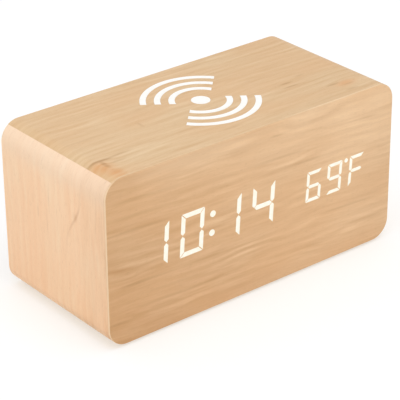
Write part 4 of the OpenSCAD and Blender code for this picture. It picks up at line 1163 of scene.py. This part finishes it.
dress(eased("back_panel", panel_black, PANEL_EASE), "case", "panel_black", "back_panel")
dress(eased("battery_door", panel_black, PANEL_EASE), "door", "panel_black", "battery_door")
for key in ("set", "up", "down"):
    dress(eased(key + "_button", button_black, BUTTON_EASE), key + "_key", "button_black", key + "_button")
dress(eased("usb_socket", socket_steel, SOCKET_EASE), "case", "socket_steel", "usb_socket")

# %% [markdown]
# The tongue of the power socket carries a row of gold pads. They could be painted as stripes, but real
# pads stand a hair proud. They follow a line, so a second small tree sets a thin pad on each point of a
# line whose count and spacing are inputs.

# %% Gold pads on the tongue
PADS, ROW_SHARE, PAD_SHARE = 12, 0.88, 0.55
PAD_LONG, PAD_PROUD, PAD_INSET = 3.2 * MM, 0.06 * MM, 0.3 * MM
row_tree, given, end, row_ids = new_tree("Row of pads", {
    "Geometry": "Geometry", "Count": "Int", "Start": "Vector", "Step": "Vector", "Pad size": "Vector",
    "Finish": "Material"})
row = put(row_tree, "GeometryNodeMeshLine", {"Count": given["Count"], "Start Location": given["Start"],
                                             "Offset": given["Step"]}).outputs["Mesh"]
pad = put(row_tree, "GeometryNodeMeshCube", {"Size": given["Pad size"]}).outputs["Mesh"]
placed = put(row_tree, "GeometryNodeInstanceOnPoints", {"Points": row, "Instance": pad}).outputs[0]
realised(row_tree, placed, given["Finish"], end)

tongue_low, tongue_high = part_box("usb_tongue")
pad_step = (tongue_high.x - tongue_low.x) * ROW_SHARE / (PADS - 1)
pad_size = Vector((pad_step * PAD_SHARE, PAD_LONG, tongue_high.z - tongue_low.z + PAD_PROUD))
first_pad = Vector(((tongue_low.x + tongue_high.x - pad_step * (PADS - 1)) / 2,
                    tongue_high.y - pad_size.y / 2 - PAD_INSET, (tongue_low.z + tongue_high.z) / 2))
pads = grown_from(row_tree, row_ids, "tongue_pads", contact_gold, Count=PADS, Start=first_pad,
                  Step=(pad_step, 0, 0), Pad_size=pad_size)
dress(pads, "case", "contact_brass")

# %% [markdown]
# Under the top lies the charging coil, wound flat from enamelled wire. In the packed model it is a ring.
# Here a spiral curve with a round profile along it shows every turn, which is how the real coil is wound.

# %% Charging coil
SPIRAL_STEPS, WIRE_SIDES, WIRE_SHARE = 56, 8, 0.94
COIL_HOLE, TURNS = 10 * MM, 10.0
coil_tree, given, end, coil_ids = new_tree("Flat coil", {
    "Geometry": "Geometry", "Turns": "Float", "Inner radius": "Float", "Outer radius": "Float",
    "Wire": "Float", "Middle": "Vector", "Finish": "Material"})
spiral = put(coil_tree, "GeometryNodeCurveSpiral", {
    "Resolution": SPIRAL_STEPS, "Rotations": given["Turns"], "Start Radius": given["Inner radius"],
    "End Radius": given["Outer radius"], "Height": 0.0}).outputs[0]
section = put(coil_tree, "GeometryNodeCurvePrimitiveCircle", {"Resolution": WIRE_SIDES,
                                                              "Radius": given["Wire"]}).outputs[0]
wound = put(coil_tree, "GeometryNodeCurveToMesh", {"Curve": spiral, "Profile Curve": section,
                                                   "Fill Caps": True}).outputs[0]
wound = put(coil_tree, "GeometryNodeTransform", {"Geometry": wound,
                                                 "Translation": given["Middle"]}).outputs[0]
realised(coil_tree, wound, given["Finish"], end)

coil_low, coil_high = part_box("charge_coil")
coil_radius = (coil_high.x - coil_low.x) / 2
wire = (coil_radius - COIL_HOLE) / (TURNS + 1) / 2
coil = grown_from(coil_tree, coil_ids, "wound_coil", coil_copper, Turns=TURNS, Inner_radius=COIL_HOLE + wire,
                  Outer_radius=coil_radius - wire, Wire=wire * WIRE_SHARE, Middle=(coil_low + coil_high) / 2)
dress(coil, "case", "coil_copper", "charge_coil")

# %% [markdown]
# The rest of the clock keeps its packed shape and only needs a finish. Most of it is sealed inside, but
# the cell's holder and contact show when the door is open, the tongue shows in the power socket, and the
# sensor's bead shows through the vents.

# %% Finishes of the packed pieces
refinish(inner_wood, "front_board", "corner_blocks")
refinish(film_white, "diffuser_film")
refinish(housing_white, "digit_housing", "charger_bracket", "set_plunger", "up_plunger", "down_plunger")
refinish(light_chip, "segment_leds")
refinish(circuit_green, "led_board", "main_board", "charger_board")
refinish(chip_black, "display_driver", "charger_parts", "usb_tongue", "buzzer", "cell_holder", "clock_chip")
refinish(screw_steel, "display_screws", "charger_screws", "board_screws", "quartz_crystal")
refinish(socket_steel, "microphone")
refinish(ferrite_grey, "ferrite_sheet")
refinish(switch_grey, "switch_bodies")
refinish(sensor_amber, "temperature_sensor")
refinish(contact_gold, "cell_contact")
refinish(cable_white, "display_ribbon")
refinish(plug_white, "ribbon_sockets", "lead_sockets")
refinish(lead_black, "charger_lead")

# %% [markdown]
# The clock was photographed on white. The floor is pale and really catches the clock's shadow, and rays
# that come from the camera, or by way of a mirror or glass, see most of it as plain white, so the shadow
# stays faint. Further off it fades to the white of the sky, so that no horizon shows. More light on a
# grey floor would also make it white, but the clock would then be too bright.

# %% Floor
FLOOR_REACH = 3.0
FADE_START, FADE_END = 0.4, 1.0
WHITE = (1, 1, 1, 1)
FLOOR_BOUNCE, FLOOR_SHADE, FLOOR_GLOW = (0.8, 0.8, 0.79, 1), (0.38, 0.46, 0.55, 1), (0.65, 0.57, 0.485, 1)


def seen_directly(tree):
    """1 for rays that show the background: from the camera, off gloss or through glass."""
    ray = put(tree, "ShaderNodeLightPath").outputs
    seen = calc(tree, "MAXIMUM", ray["Is Camera Ray"], ray["Is Glossy Ray"])
    return calc(tree, "MAXIMUM", seen, ray["Is Transmission Ray"])


corners = [(x * FLOOR_REACH, y * FLOOR_REACH, 0) for x, y in ((-1, -1), (1, -1), (1, 1), (-1, 1))]
floor_mesh = bpy.data.meshes.new("Floor")
floor_mesh.from_pydata(corners, [], [(0, 1, 2, 3)])
floor_object = bpy.data.objects.new("Floor", floor_mesh)
scene.collection.objects.link(floor_object)

paper, tree, _ = new_finish("paper_white")
tree.nodes.clear()
bounce = put(tree, "ShaderNodeBsdfDiffuse", {"Color": FLOOR_BOUNCE}).outputs[0]
shade = put(tree, "ShaderNodeBsdfDiffuse", {"Color": FLOOR_SHADE}).outputs[0]
glow = put(tree, "ShaderNodeEmission", {"Color": FLOOR_GLOW, "Strength": 1.0}).outputs[0]
shown = put(tree, "ShaderNodeAddShader", {0: shade, 1: glow}).outputs[0]
faded = spread(tree, length(tree, object_place(tree)), FADE_START, FADE_END)
horizon = put(tree, "ShaderNodeEmission", {"Color": WHITE, "Strength": 1.0}).outputs[0]
shown = put(tree, "ShaderNodeMixShader", {0: faded, 1: shown, 2: horizon}).outputs[0]
mixed = put(tree, "ShaderNodeMixShader", {0: seen_directly(tree), 1: bounce, 2: shown}).outputs[0]
put(tree, "ShaderNodeOutputMaterial", {"Surface": mixed})
floor_mesh.materials.append(paper)
print("floor fades to white from", FADE_START, "to", FADE_END, "m")

# %% [markdown]
# The sky stands for the white walls of a studio. An image of one could light the clock, but a soft even
# grey gives the same fill. The eye sees it as plain white, by the same test of rays as on the floor.

# %% Sky
SKY_LIGHT = 0.75
world = bpy.data.worlds.new("Studio")
scene.world = world
world.use_nodes = True
tree = world.node_tree
tree.nodes.clear()
dim = put(tree, "ShaderNodeBackground", {"Color": WHITE, "Strength": SKY_LIGHT}).outputs[0]
bright = put(tree, "ShaderNodeBackground", {"Color": WHITE, "Strength": 1.0}).outputs[0]
mixed = put(tree, "ShaderNodeMixShader", {0: seen_directly(tree), 1: dim, 2: bright}).outputs[0]
put(tree, "ShaderNodeOutputWorld", {"Surface": mixed})
print("sky lights at", SKY_LIGHT, "and shows at 1.0")

# %% [markdown]
# A large softbox hangs over the top and a smaller one stands close on the left, because the left end of
# the clock is its brightest side. Small lamps would give hard shadows. Large ones close by give the soft,
# short shadow that a catalogue picture has.

# %% Lamps
LAMP_AIM = Vector((0, 0, 36 * MM))


def softbox(name, place, size, power):
    """A square lamp that faces the clock."""
    lamp = bpy.data.lights.new(name, "AREA")
    lamp.size, lamp.energy = size, power
    holder = bpy.data.objects.new(name, lamp)
    scene.collection.objects.link(holder)
    holder.location = place
    holder.rotation_mode = "QUATERNION"
    holder.rotation_quaternion = (LAMP_AIM - Vector(place)).to_track_quat("-Z", "Y")
    print(name, "of", size, "m and", power, "W")


softbox("Left softbox", place=(-1.1, -0.25, 0.45), size=0.8, power=2.0)
softbox("Top softbox", place=(-0.1, -0.3, 1.3), size=1.0, power=5.0)

# %% [markdown]
